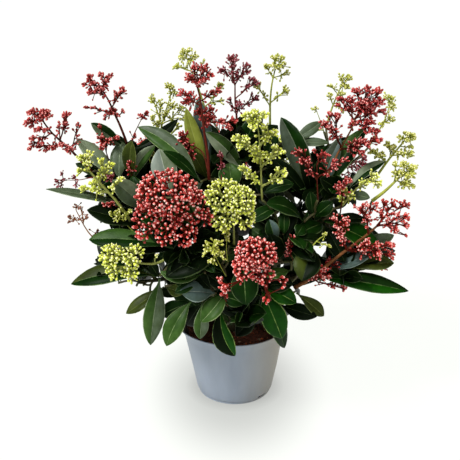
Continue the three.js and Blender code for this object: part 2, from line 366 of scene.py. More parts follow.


# Thin moulded polypropylene: satin and blue-grey, with faint streaks where the melt ran up, and a painted
# shade that makes it darker and warmer towards its right side, away from the key light.
MOULDED_POLYPROPYLENE = Finish(
    "moulded_polypropylene", "#9ca6b4", "#949eac", 0.5, patch=16, grain=0.5, relief=0.02, stretch=6,
    ior=1.49, specular=0.35, subsurface=0.08, painted_side_shade="#958f7f", painted_side_shade_run=(2, 52),
)
# Moist peat: dark red-brown, rough and crumbly, so nothing on it shines.
MOIST_PEAT = Finish("moist_peat", "#34190e", "#68341e", 0.95, patch=3, grain=1.2, relief=0.8)
# Chips of composted bark in the peat: red-brown, with lighter ones that have dried.
COMPOSTED_BARK = Finish("composted_bark", "#b45e36", "#74381f", 0.9, patch=2.5, grain=0.8, relief=0.3)
DRY_CHIPS = Finish("dry_bark_chips", "#a08a72", "#7d6651", 0.9, patch=2, grain=0.8, relief=0.3)
# Young skimmia bark: smooth grey-brown over green, in fine streaks along the stem.
YOUNG_BARK = Finish(
    "young_bark", "#4a3e26", "#3a3d22", 0.8, patch=3.5, grain=0.7, relief=0.25, stretch=4
)
# This year's shoots: green going brown, a little waxy.
GREEN_WOOD = Finish("green_wood", "#4a5222", "#4c3f24", 0.6, patch=4, grain=0.6, relief=0.12, stretch=3)


@dataclass(frozen=True)
class LeafFinish:
    """The four surfaces of one tint of leaf: a leathery blade with a waxy skin."""

    blade: Finish
    midrib: Finish
    margin: Finish
    under: Finish


def leaf_finish(tint: str, blade: tuple[str, str], sheen: float, line: str, under: str) -> LeafFinish:
    """Works out the finishes of one tint of leaf.

    Args:
        tint: the tint's name.
        blade: the two greens of the upper side.
        sheen: how strongly its wax mirrors the light.
        line: the pale green of midrib and margin.
        under: the green of the dull lower side.

    Returns:
        The finishes of its four surfaces.
    """
    first, second = blade
    return LeafFinish(
        # The waxy skin mirrors the light softly, and fine veins make its highlights uneven.
        Finish(
            f"waxed_blade_{tint}", first, second, 0.42, patch=14, grain=2.2, relief=0.12, specular=sheen
        ),
        # Smooth sunken rib, paler than the blade because little chlorophyll lies over it.
        Finish(f"midrib_{tint}", first, line, 0.5, patch=9, relief=0.03, specular=0.2),
        # Thickened edge, paler than the blade: its thin pale line is partly the edge's own colour and partly
        # a painted highlight.
        Finish(f"margin_{tint}", line, second, 0.45, patch=7, relief=0.02, specular=0.3, even=0.56),
        # Lower side without wax: lighter, greyer and dull.
        Finish(
            f"under_{tint}", under, second, 0.62, patch=11, grain=1.4, relief=0.08, specular=0.1, even=0.62
        ),
    )


class Tint(Enum):
    """The greens that a leaf shows, by age and by how its wax takes the light: BLACK is painted shade, and
    the greyer SAGE, SMOKE, GREY, PALE and SLATE are painted sheen.
    """

    BLACK = 0
    DEEP = 1
    BRIGHT = 2
    MID = 3
    MOSS = 4
    SAGE = 5
    SMOKE = 10
    GREY = 6
    PALE = 7
    SLATE = 8
    OLIVE = 9


BLACK, DEEP, BRIGHT, MID, MOSS, SAGE, SMOKE, GREY, PALE, SLATE, OLIVE = Tint
# BLACK paints the shade of the crown's inside as nearly black leaves; SAGE, SMOKE, GREY, PALE and SLATE
# paint the wax's sheen into the blade as grey and blue-grey.
LEAF_FINISHES = {
    BLACK: leaf_finish("black_green", ("#050e02", "#0a1805"), 0.05, "#35461f", "#1c2a12"),
    DEEP: leaf_finish("deep_green", ("#102d06", "#0a2104"), 0.07, "#5f7842", "#364c22"),
    BRIGHT: leaf_finish("bright_green", ("#154806", "#0d3803"), 0.07, "#86a350", "#506e30"),
    MID: leaf_finish("mid_green", ("#3c5a24", "#284414"), 0.13, "#8ea06c", "#5c7246"),
    MOSS: leaf_finish("moss_green", ("#3e4a16", "#2a350e"), 0.12, "#757f42", "#5a6436"),
    SAGE: leaf_finish("sage_green", ("#52614a", "#3c4b2e"), 0.2, "#8a9876", "#66765c"),
    GREY: leaf_finish("grey_green", ("#727e64", "#5c6a4e"), 0.24, "#9ca88a", "#7a8a78"),
    PALE: leaf_finish("pale_grey_green", ("#929d90", "#78857a"), 0.3, "#b8c0ac", "#8c9a94"),
    SMOKE: leaf_finish("smoky_green", ("#434f3e", "#313b2a"), 0.14, "#6e7a60", "#56644c"),
    SLATE: leaf_finish("slate_green", ("#4c605c", "#39493f"), 0.18, "#8fa096", "#6c7e7c"),
    OLIVE: leaf_finish("olive_green", ("#8e983e", "#768030"), 0.16, "#a8b060", "#8a9450"),
}


class Bloom(Enum):
    """The colours that the buds of a flower head have."""

    RED = 0
    WINE = 1
    MAROON = 2
    FADED = 3
    GREEN = 4
    LIME = 5


RED, WINE, MAROON, FADED, GREEN, LIME = Bloom
# The two colours of the tip, the sides and the calyx, for each shade of bud. The pale tips are partly the
# buds' own paler tips and partly a painted highlight; the darker calyx is partly its own colour and partly
# painted shade at the bud's foot.
BUD_SHADES = {
    RED: (
        (("#ffc5bd", "#ffb0a5"), ("#cf423b", "#bb352f"), ("#74160c", "#5e0e06")),
        (("#ffa59f", "#f3928b"), ("#b4312a", "#9d2420"), ("#600e06", "#4e0a04")),
        (("#ffdcd2", "#ffc8be"), ("#e45951", "#cf4840"), ("#862012", "#70160c")),
    ),
    WINE: (
        (("#f29c96", "#df8680"), ("#b83a3a", "#a32e2c"), ("#6c1814", "#58100c")),
        (("#d4746e", "#bf5e5a"), ("#9d2a28", "#88201e"), ("#5c100c", "#4c0a08")),
        (("#ffbab2", "#f0a69e"), ("#cc4e4a", "#b8403c"), ("#7a2018", "#641610")),
    ),
    MAROON: (
        (("#dca4a8", "#c68c90"), ("#a24a54", "#903e46"), ("#6a2026", "#58181c")),
        (("#bc747c", "#a85e66"), ("#8a323c", "#782830"), ("#581820", "#481014")),
    ),
    FADED: (
        (("#b98a72", "#a07058"), ("#8e5444", "#7a4436"), ("#5e3422", "#4a281a")),
    ),
    GREEN: (
        (("#fffed0", "#fefcb4"), ("#eaf25c", "#d8e250"), ("#bcc83e", "#aab636")),
        (("#ffffde", "#fffec6"), ("#f2f874", "#e6ee66"), ("#ccd64a", "#bac440")),
        (("#fffebe", "#faf8a6"), ("#dae452", "#c8d348"), ("#b0bc3a", "#a0ac32")),
    ),
    LIME: (
        (("#fcf9ca", "#f3eeaf"), ("#d2d464", "#c2c656"), ("#a6a842", "#949838")),
        (("#f2eeb2", "#e5e19b"), ("#bcc04e", "#acb244"), ("#929636", "#80862e")),
    ),
}


def bud_finishes(bloom: Bloom) -> list[tuple[Finish, Finish, Finish]]:
    """Makes the finishes of a bud's tip, sides and calyx, in the shades that one head mixes.

    Args:
        bloom: the head's colour.

    Returns:
        For each shade, the three finishes.
    """
    # Waxy skin, taut and softly glossy; the small highlight that each bud shows is mostly the painted
    # highlight of its pale tip.
    waxy = {"roughness": 0.26, "patch": 3, "grain": 0.8, "relief": 0.02, "specular": 0.3}
    return [
        tuple(
            Finish(f"{bloom.name.lower()}_bud_{part}_{i}", *colours, **waxy)
            for part, colours in zip(("tip", "side", "calyx"), shade)
        )
        for i, shade in enumerate(BUD_SHADES[bloom])
    ]


BUD_FINISHES = {bloom: bud_finishes(bloom) for bloom in Bloom}
# Fleshy flower stalks, matt and a little downy.
STALK_FINISHES = {
    bloom: Finish(f"{name}_stalk", *look[:3], patch=8, grain=0.8, relief=0.06, specular=look[3])
    for bloom, (name, *look) in {
        RED: ("red_brown", "#6a1a0e", "#561208", 0.6, 0.1),
        WINE: ("wine_red", "#5e2014", "#44140a", 0.6, 0.1),
        MAROON: ("maroon", "#6c2a2c", "#6a3428", 0.6, 0.1),
        FADED: ("faded", "#8a5a34", "#6e4226", 0.65, 0.1),
        LIME: ("lime_green", "#aab04a", "#90983c", 0.55, 0.15),
        GREEN: ("green", "#b8c44a", "#a2b03a", 0.55, 0.15),
    }.items()
}


# ---- shapes that are repeated


@dataclass(frozen=True)
class Shape:
    """A small closed mesh whose copies are joined: each corner's own measures, and the faces."""

    corners: Array  # three measures of each corner, such as along, across and up
    loops: Array
    counts: Array  # corners of each face
    parts: Array  # which of the shape's surfaces each face is

    @classmethod
    def read(cls, form: Form) -> "Shape":
        """Reads a shape from a bmesh, and frees it.

        Args:
            form: the bmesh, whose material numbers name its surfaces.

        Returns:
            The shape.
        """
        form.verts.index_update()
        corners = np.array([tuple(v.co) for v in form.verts])
        loops = np.array([v.index for face in form.faces for v in face.verts])
        counts = np.array([len(face.verts) for face in form.faces])
        parts = np.array([face.material_index for face in form.faces])
        form.free()
        return cls(corners, loops, counts, parts)


@dataclass
class Joined:
    """One mesh that many copies of shapes are joined into."""

    parts: list[tuple[Array, ...]] = field(default_factory=list)
    total: int = 0  # corners so far

    def add(self, shape: Shape, points: Array, slots: Array, crease: Array | None = None) -> None:
        """Adds copies of a shape.

        Args:
            shape: the shape that is repeated.
            points: the places of its corners in each copy, in mm.
            slots: the slot number of each of its surfaces in each copy.
            crease: which of its corners lie on a sharp edge.
        """
        copies, size = len(points), len(shape.corners)
        starts = self.total + np.arange(copies)[:, None] * size
        flags = np.zeros(size, bool) if crease is None else crease
        self.parts.append((
            points.reshape(-1, 3), (shape.loops[None, :] + starts).ravel(), np.tile(shape.counts, copies),
            slots[:, shape.parts].ravel(), np.tile(flags, copies),
        ))
        self.total += copies * size

    def mesh(self, name: str) -> bpy.types.Mesh:
        """Writes the joined mesh in metres, smooth but for its sharp edges.

        Args:
            name: the mesh's name.

        Returns:
            The mesh.
        """
        points, loops, counts, slots, creases = (np.concatenate(part) for part in zip(*self.parts))
        mesh = bpy.data.meshes.new(name)
        mesh.vertices.add(self.total)
        mesh.loops.add(len(loops))
        mesh.polygons.add(len(counts))
        mesh.vertices.foreach_set("co", (points * MM).astype(np.float32).ravel())
        mesh.loops.foreach_set("vertex_index", loops.astype(np.int32))
        mesh.polygons.foreach_set("loop_start", (np.cumsum(counts) - counts).astype(np.int32))
        mesh.polygons.foreach_set("material_index", slots.astype(np.int32))
        mesh.update(calc_edges=True)
        mesh.shade_smooth()
        ends = np.zeros(len(mesh.edges) * 2, np.int32)
        mesh.edges.foreach_get("vertices", ends)
        mesh.edges.foreach_set("use_edge_sharp", creases[ends.reshape(-1, 2)].all(1))
        mesh.validate()
        return mesh


@dataclass(frozen=True)
class Rod:
    """A round rod of a number of rings, which is run along lines to make stems and stalks."""

    rings: int
    sides: int

    def shape(self) -> Shape:
        """Makes the upright rod, closed at both ends, with its rings one apart.

        Returns:
            The rod, one unit in radius.
        """
        form = bmesh.new()
        last = self.rings - 1
        bmesh.ops.create_cone(
            form, cap_ends=True, segments=self.sides, radius1=1, radius2=1, depth=last
        )
        bmesh.ops.translate(form, verts=form.verts, vec=(0, 0, last / 2))
        for height in range(1, last):
            everything = [*form.verts, *form.edges, *form.faces]
            bmesh.ops.bisect_plane(form, geom=everything, plane_co=(0, 0, height), plane_no=(0, 0, 1))
        return Shape.read(form)

    def run(self, shape: Shape, lines: Array, radii: Array) -> Array:
        """Runs the rod along lines.

        Args:
            shape: the upright rod.
            lines: for each copy, a point for each ring.
            radii: for each copy, the radius at each ring.

        Returns:
            The places of the corners in each copy.
        """
        heading = unit(np.gradient(lines, axis=1))
        whole = unit(lines[:, -1] - lines[:, 0])
        helper = np.where(np.abs(whole[:, 2:]) < 0.8, UP, np.array([1.0, 0.0, 0.0]))
        first = unit(np.cross(heading, helper[:, None, :]))
        second = np.cross(heading, first)
        ring = np.rint(shape.corners[:, 2]).astype(int)
        wide = radii[:, ring, None]
        return (
            lines[:, ring]
            + first[:, ring] * wide * shape.corners[None, :, 0:1]
            + second[:, ring] * wide * shape.corners[None, :, 1:2]
        )


# ---- the eye and studio


@dataclass(frozen=True)
class View:
    """The eye that the plant is set out for: a little above it, looking down on its front."""

    place: Place = (-5.8, -868.0, 540.7)
    pitch: float = 21.0  # degrees below level
    frame: int = 460  # pixels across the picture, and down it
    focal: float = 800.0  # pixels from the eye to the picture
    sensor: float = 36.0

    def at(self, seen: Pixel, depth: float) -> Array:
        """Finds the place that is seen at a pixel, on an upright plane.

        Args:
            seen: the pixel, from the picture's top left.
            depth: the plane's y.

        Returns:
            The place.
        """
        pitch = math.radians(self.pitch)
        right = (seen[0] - self.frame / 2) / self.focal
        rise = (self.frame / 2 - seen[1]) / self.focal
        forward = math.cos(pitch) + rise * math.sin(pitch)
        upward = -math.sin(pitch) + rise * math.cos(pitch)
        reach = (depth - self.place[1]) / forward
        return np.array(self.place) + reach * np.array([right, forward, upward])

    def seen(self, place: Array) -> Pixel:
        """Finds the pixel where a place is seen.

        Args:
            place: the place.

        Returns:
            The pixel.
        """
        pitch = math.radians(self.pitch)
        away = np.array(place) - np.array(self.place)
        rise = away[1] * math.sin(pitch) + away[2] * math.cos(pitch)
        half = self.frame / 2
        return half + away[0] * self.scale(place), half - rise * self.scale(place)

    def scale(self, place: Array) -> float:
        """Measures how large things look at a place.

        Args:
            place: the place.

        Returns:
            How many pixels a millimetre spans there.
        """
        pitch = math.radians(self.pitch)
        away = np.array(place) - np.array(self.place)
        return self.focal / float(away[1] * math.cos(pitch) - away[2] * math.sin(pitch))

    def camera(self) -> None:
        """Sets up the camera at the eye."""
        data = bpy.data.cameras.new("eye")
        data.sensor_width = self.sensor
        data.lens = self.sensor * self.focal / self.frame
        camera = placed("eye", data)
        camera.location = Vector(self.place) * MM
        camera.rotation_euler = (math.radians(90 - self.pitch), 0, 0)
        bpy.context.scene.camera = camera


VIEW = View()


@dataclass(frozen=True)
class Lamp:
    """A broad soft light from far off: degrees round from the front and up, its strength and spread."""

    name: str
    side: Pair
    strength: float
    spread: float  # degrees across
    colour: str


@dataclass(frozen=True)
class Studio:
    """A glowing floor with a painted shadow round the pot, under soft lights, in a surround that looks white
    but lights little.
    """

    floor: str = "#4a4c49"
    # The floor's glow is dimmed round the pot, and more at its foot: a painted shadow, not one that the
    # lamps cast.
    painted_shadow_glow: Pair = (0.58, 0.97)  # how brightly the floor glows under the pot, and farther out
    painted_shadow_reach: Pair = (35.0, 125.0)  # aside of the pot's middle between which that changes
    painted_shadow_depth: float = 1.55  # how much slower it changes towards the front
    painted_contact_shadow: Pair = (45.0, 62.0)  # over which the pot's contact shadow fades
    painted_contact_glow: float = 0.82  # how brightly the floor glows in that shadow, of its glow
    floor_half: float = 40000.0  # half its width
    surround: float = 0.1  # how strongly the surround lights the plant
    lamps: tuple[Lamp, ...] = (
        Lamp("high_left", (-55.0, 48.0), 3.0, 14.0, "#ffffff"),
        Lamp("over_front", (5.0, 52.0), 1.2, 60.0, "#ffffff"),
        Lamp("low_right", (80.0, 25.0), 0.25, 50.0, "#ffdcb4"),
    )

    def build(self) -> None:
        """Makes the floor, the lights and the white surround."""
        form = bmesh.new()
        bmesh.ops.create_grid(form, x_segments=1, y_segments=1, size=self.floor_half)
        floor = placed("floor", written(form, "floor"))
        floor.data.materials.append(self.floor_material())
        for lamp in self.lamps:
            self.light(lamp)
        world = bpy.data.worlds.new("white_surround")
        world.use_nodes = True
        tree = world.node_tree
        seen = {"Value": (add_node(tree, "LightPath"), "Is Camera Ray")}
        strength = add_node(tree, "MapRange", {"To Min": self.surround, "To Max": 1.0}, seen)
        background = tree.nodes["Background"]
        background.inputs["Color"].default_value = linear("#ffffff")
        tree.links.new(strength.outputs["Result"], background.inputs["Strength"])
        bpy.context.scene.world = world
        bpy.context.scene.view_settings.view_transform = "Standard"

    def floor_material(self) -> bpy.types.Material:
        """Makes the floor's acrylic, lit from below so that shadows stay faint, and dimmed round and in
        front of the pot as a painted shadow, darker still in a painted contact shadow at its foot.

        Returns:
            The material.
        """
        material, shader = new_material("backlit_matt_acrylic", {
            "Base Color": linear(self.floor), "Roughness": 0.9, "Specular IOR Level": 0.0,
            "Emission Color": linear("#fdfffb"),
        })
        tree = material.node_tree
        place = {"Vector": (add_node(tree, "TexCoord"), "Object")}
        scaled = add_node(tree, "Mapping", {"Scale": (1, 1 / self.painted_shadow_depth, 1)}, place)
        length = {"operation": "LENGTH"}
        away = add_node(tree, "VectorMath", length, {"Vector": (scaled, "Vector")})
        round_pot = add_node(tree, "VectorMath", length, place)
        # Painted shadow: the glow dims towards the pot, more slowly towards the front, and dims again at the
        # pot's foot.
        painted_shadow_ramp = {
            "interpolation_type": "SMOOTHSTEP",
            "From Min": self.painted_shadow_reach[0] * MM, "From Max": self.painted_shadow_reach[1] * MM,
            "To Min": self.painted_shadow_glow[0], "To Max": self.painted_shadow_glow[1],
        }
        painted_contact_shadow = {
            "From Min": self.painted_contact_shadow[0] * MM, "From Max": self.painted_contact_shadow[1] * MM,
            "To Min": self.painted_contact_glow,
        }
        parts = {
            i: (add_node(tree, "MapRange", settings, {"Value": (source, "Value")}), "Result")
            for i, (settings, source) in enumerate(((painted_shadow_ramp, away), (painted_contact_shadow, round_pot)))
        }
        both = add_node(tree, "Math", {"operation": "MULTIPLY"}, parts)
        tree.links.new(both.outputs["Value"], shader.inputs["Emission Strength"])
        return material

    def light(self, lamp: Lamp) -> None:
        """Sets up one light, turned to the plant.

        Args:
            lamp: the light.
        """
        data = bpy.data.lights.new(lamp.name, "SUN")
        data.energy = lamp.strength
        data.angle = math.radians(lamp.spread)
        data.color = linear(lamp.colour)[:3]
        light = placed(lamp.name, data)
        light.rotation_euler = Vector(-looking(lamp.side)).to_track_quat("-Z", "Y").to_euler()


# ---- pot and peat


@dataclass
class Pot:
    """The thin tapered pot: flared rim with a lip, stepped foot, and slots for water."""

    lip_drop: float = 1.4
    lip_out: float = 0.5
    neck_radius: float = 58.6
    flare_drop: float = 13.0
    waist: Pair = (52.2, 34.0)  # radius and height, from where it tapers more
    corner: Pair = (46.6, 5.0)
    foot: Pair = (44.6, 3.0)
    wall: float = 1.3
    floor: float = 1.8
    facets: int = 120
    rounding: float = 0.45
    slots: int = 3
    first_slot: float = -45.0  # degrees round from +X
    slouch: Pair = (7.0, 64.0)  # how far the rim is pressed out on the left, and from where up
    slot_width: float = 13.0
    slot_height: float = 3.4

    def profile(self) -> list[Pair]:
        """Works out the section, from the middle of the underside over the lip to the floor.

        Returns:
            Its points, as radius and height.
        """
        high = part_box("pot")[1] / MM
        rim, top = high.x, high.z
        corner_radius, corner_height = self.corner
        foot_radius, foot_height = self.foot
        neck = top - self.flare_drop
        wider = rim - self.lip_out - self.neck_radius
        flare = [
            (self.neck_radius + wider * t**1.3, neck + (top - 1.9 - neck) * t) for t in np.linspace(0, 1, 6)
        ]
        outside = [
            (0, 0), (foot_radius, 0), (foot_radius, foot_height),
            (corner_radius - 0.8, foot_height + 0.4), (corner_radius, corner_height),
            self.waist, *flare, (rim, top - self.lip_drop), (rim, top),
        ]
        inside = [(radius - self.wall, height) for radius, height in flare[::-1]]
        return [
            *outside, (rim - self.wall, top), *inside, (self.waist[0] - self.wall, self.waist[1]),
            (corner_radius - self.wall, corner_height),
            (foot_radius - self.wall, self.floor), (0, self.floor),
        ]

    def cutter(self) -> bpy.types.Object:
        """Makes the rounded blocks that cut the slots.

        Returns:
            The blocks, as one object.
        """
        form = bmesh.new()
        for i in range(self.slots):
            block = bmesh.ops.create_cube(form, size=1)["verts"]
            bmesh.ops.scale(form, verts=block, vec=(8, self.slot_width, self.slot_height))
            middle = self.foot[1] - 0.6 + self.slot_height / 2
            bmesh.ops.translate(form, verts=block, vec=(self.foot[0], 0, middle))
            turn = 2 * math.pi * i / self.slots + math.radians(self.first_slot)
            way = Vector((math.cos(turn), math.sin(turn), 0)).to_track_quat("X", "Z")
            bmesh.ops.rotate(form, verts=block, cent=(0, 0, 0), matrix=way.to_matrix())
        long_edges = [e for e in form.edges if abs(e.verts[0].co.z - e.verts[1].co.z) < 0.1]
        radial = [e for e in long_edges if e.calc_length() < self.slot_width - 1]
        bmesh.ops.bevel(
            form, geom=radial, offset=1.2, segments=4, affect="EDGES", profile=0.5, material=-1
        )
        return placed("slot_cutter", written(form, "slot_cutter"))

    def build(self) -> None:
        """Turns the section round, rounds its edges and cuts the slots."""
        form = spun(self.profile(), self.facets)
        corners = [
            e for e in form.edges
            if e.is_manifold and e.calc_face_angle() > math.radians(32)
            and abs(e.verts[0].co.z - e.verts[1].co.z) < 0.01
        ]
        bmesh.ops.bevel(
            form, geom=corners, offset=self.rounding, segments=3, affect="EDGES", profile=0.5, material=-1
        )
        out, start = self.slouch
        top = (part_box("pot")[1] / MM).z
        for vertex in form.verts:
            raised = max(0.0, (vertex.co.z - start) / (top - start))
            leftwards = max(0.0, -vertex.co.x / self.neck_radius)
            vertex.co.x -= out * raised**1.5 * leftwards**2
        blank, cutter = placed("pot_blank", written(form, "pot_blank")), self.cutter()
        cut = blank.modifiers.new("slots", "BOOLEAN")
        cut.operation, cut.object, cut.solver = "DIFFERENCE", cutter, "EXACT"
        graph = bpy.context.evaluated_depsgraph_get()
        moulded = bpy.data.meshes.new_from_object(blank.evaluated_get(graph))
        for used in (blank, cutter):
            bpy.data.objects.remove(used)
        moulded.shade_smooth()
        moulded.set_sharp_from_angle(angle=math.radians(35))
        dressed("moulded_pot", moulded, [MOULDED_POLYPROPYLENE], ["pot"])


@dataclass
class Peat:
    """The peat that fills the pot, its uneven top strewn with crumbs and chips of bark."""

    gap: float = 0.5  # clear space to the pot's wall
    crown: float = 2.0  # how far its middle stands above its rim
    rings: int = 26
    facets: int = 110
    unevenness: float = 1.1
    lumps: float = 9.0  # mm across a lump
    crumbs: int = 520
    chips: int = 110
    clear: float = 3.5  # how far from the wall they lie
    dry_share: float = 0.25  # chips that have dried
    seed: int = 11

    def build(self, pot: Pot) -> None:
        """Fills the pot.

        Args:
            pot: the pot that holds the peat.
        """
        top = (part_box("root_ball")[1] / MM).z - self.crown
        inside = pot.neck_radius - pot.wall - self.gap + 0.6
        floor = pot.floor + self.gap
        (foot, _), (corner, corner_height), (waist, waist_height) = pot.foot, pot.corner, pot.waist
        slope = [(foot, floor), (corner, corner_height + 1), (waist, waist_height)]
        dome = [
            (inside * (1 - t), top + self.crown * (1 - (1 - t) ** 2)) for t in np.linspace(0, 1, self.rings)
        ]
        section = [(0, floor), *[(radius - pot.wall - 1, height) for radius, height in slope]]
        form = spun([*section, (inside - 1.6, top - 12), *dome], self.facets)
        for vertex in form.verts:
            if vertex.co.z > top - 1:
                vertex.co.z += self.height(vertex.co.x, vertex.co.y)
        mesh = written(form, "peat")
        mesh.shade_smooth()
        dressed("peat", mesh, [MOIST_PEAT], ["root_ball"])
        self.strew(top, inside)

    def height(self, x: float, y: float) -> float:
        """Gives how far the peat's top stands out of its smooth crown at a place.

        Args:
            x: the place to the right of the middle.
            y: the place behind it.

        Returns:
            The height.
        """
        broad = noise.noise(Vector((x, y, 0)) / self.lumps)
        fine = noise.noise(Vector((x, y, 7)) / (self.lumps / 4))
        return self.unevenness * (broad + 0.5 * fine)

    def strew(self, top: float, inside: float) -> None:
        """Strews crumbs of peat and chips of bark.

        Args:
            top: the height of the peat at the wall.
            inside: its radius there.
        """
        form = bmesh.new()
        bmesh.ops.create_icosphere(form, subdivisions=1, radius=1)
        crumb = Shape.read(form)
        draw = np.random.default_rng(self.seed)
        count = self.crumbs + self.chips
        away = np.sqrt(draw.random(count)) * (inside - self.clear)
        angle = draw.random(count) * 2 * math.pi
        x, y = away * np.cos(angle), away * np.sin(angle)
        z = top + self.crown * (1 - (away / inside) ** 2) + [self.height(a, b) for a, b in zip(x, y)]
        size = draw.uniform(0.5, 1.7, (count, 1)) * np.ones((1, 3))
        size[self.crumbs :] *= draw.uniform(0.6, 2.4, (self.chips, 3))
        size[self.crumbs :, 2] = draw.uniform(0.4, 0.8, self.chips)
        corners = crumb.corners[None] * draw.uniform(0.75, 1.25, (count, len(crumb.corners), 1))
        corners = corners * size[:, None, :]
        turn = draw.random(count)[:, None] * 2 * math.pi
        long, wide, high = np.moveaxis(corners, -1, 0)
        cos, sin = np.cos(turn), np.sin(turn)
        turned = np.stack([long * cos - wide * sin, long * sin + wide * cos, high], -1)
        slots = np.zeros((count, 1), int)
        slots[self.crumbs :] = 1 + (draw.random((self.chips, 1)) > 1 - self.dry_share)
        joined = Joined()
        joined.add(crumb, turned + np.stack([x, y, z + 0.2], -1)[:, None, :], slots)
        finishes = [MOIST_PEAT, COMPOSTED_BARK, DRY_CHIPS]
        dressed("peat_crumbs", joined.mesh("peat_crumbs"), finishes, [])


# ---- stems and boughs


@dataclass
class Limb:
    """One tapering limb, with bark relief, on the line and the girth of its CAD node."""

    node: str
    rings: int = 60
    sides: int = 16
    relief: float = 0.28  # mm
    streak: Pair = (1.3, 7.0)  # mm across a streak of bark, and along it
    scar_every: float = 15.0  # mm between leaf scars
    slices: int = 9

    def section(self, height: float) -> tuple[Array, float]:
        """Cuts the CAD node level, and finds the middle and the radius of the cut.

        Args:
            height: where to cut.

        Returns:
            The middle of the cut, and the radius across the limb.
        """
        mesh = frame["nodes"][self.node].data
        corners = corners_of(self.node)
        ends = np.array([tuple(e.vertices) for e in mesh.edges])
        low, high = corners[ends[:, 0]], corners[ends[:, 1]]
        crossing = (low[:, 2] - height) * (high[:, 2] - height) < 0
        low, high = low[crossing], high[crossing]
        share = ((height - low[:, 2]) / (high[:, 2] - low[:, 2]))[:, None]
        cut = low + (high - low) * share
        middle = (cut.min(0) + cut.max(0)) / 2
        return middle, float(np.sort(np.linalg.norm(cut - middle, axis=1))[len(cut) // 3])

    def line(self) -> tuple[Array, Array]:
        """Works out the limb's line and its radii.

        Returns:
            The points of the line, and a radius at each.
        """
        low, high = (corner.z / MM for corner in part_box(self.node))
        heights = np.linspace(low + 0.06 * (high - low), high - 0.08 * (high - low), self.slices)
        cuts = [self.section(height) for height in heights]
        points = np.array([middle for middle, _ in cuts])
        first, second = points[:2]
        start = np.array([first[0], first[1], low - 1.0])
        if not self.node.startswith("stem"):
            start = first + (first - second) * (low - 2 - first[2]) / (first[2] - second[2])
        end = points[-1] + (points[-1] - points[-2]) * 0.5
        line = resampled(np.vstack([start, points, end]), self.rings)
        girth = np.interp(line[:, 2], heights, [radius for _, radius in cuts])
        return line, girth

    def end(self) -> tuple[Array, Array]:
        """Gives the place and the heading of the limb's end."""
        line, _ = self.line()
        return line[-1], unit(line[-1] - line[-6])

    def corners(self, shape: Shape, rod: Rod) -> Array:
        """Places the limb's corners, with streaks of bark and leaf scars.

        Args:
            shape: the upright rod.
            rod: what runs it along a line.

        Returns:
            The corners of the one limb.
        """
        line, girth = self.line()
        run = np.concatenate([[0], np.cumsum(np.linalg.norm(np.diff(line, axis=0), axis=1))])
        scar = np.exp(-(((run % self.scar_every) - self.scar_every / 2) ** 2) / 1.5)
        radii = girth * (1 + 0.07 * scar)
        corners = rod.run(shape, line[None], radii[None])[0]
        ring = np.rint(shape.corners[:, 2]).astype(int)
        out = unit(corners - line[ring])
        wide, long = self.streak
        lift = [
            noise.fractal(Vector((p[0] / wide, p[1] / wide, p[2] / long)), 0.8, 2.0, 3) for p in corners
        ]
        return (corners + out * (self.relief * np.array(lift))[:, None])[None]


def build_limbs(name: str, nodes: list[str]) -> None:
    """Makes one piece of several limbs.

    Args:
        name: the piece's name.
        nodes: the limbs' CAD nodes.
    """
    limbs = [Limb(node) for node in nodes]
    rod = Rod(limbs[0].rings, limbs[0].sides)
    shape = rod.shape()
    joined = Joined()
    for limb in limbs:
        joined.add(shape, limb.corners(shape, rod), np.zeros((1, 1), int))
    dressed(name, joined.mesh(name), [YOUNG_BARK], nodes)


# ---- leaves


@dataclass(frozen=True)
class Leaf:
    """One leaf: where its tip is seen, how wide it is, and how it is turned and bent."""

    tip: Pixel
    depth: float  # y of the tip
    width: float
    tint: Tint
    face: Pair = (0.0, 45.0)  # where the upper side looks: degrees round from the front, and up
    fold: float = 12.0  # degrees that each half stands up from the midrib
    arch: float = 0.07  # how far the middle stands out of the line from foot to tip, of its length
    bow: float = 0.0  # how far it bends sideways, of its length
    # other: a second tint that paints sheen or shade over the right half, as painted light.
    other: Tint | None = None  # the tint of its right half, looking on from the foot, if it differs
    skew: float = 1.25  # how far the widest place lies past the middle


@dataclass(frozen=True)
class Shoot:
    """The end of a shoot, and the leaves that spread from it."""

    seen: Pixel
    depth: float
    leaves: tuple[Leaf, ...]


@dataclass(frozen=True)
class Bent:
    """Leaves as they stand, with Leaf's measures: an entry of each array for each leaf."""

    foot: Array
    tip: Array
    width: Array
    face: Array
    fold: Array
    arch: Array
    bow: Array
    twist: Array  # degrees from foot to tip
    skew: Array
    tint: Array
    # other: the tint of the right half, a painted sheen or painted shade.
    other: Array


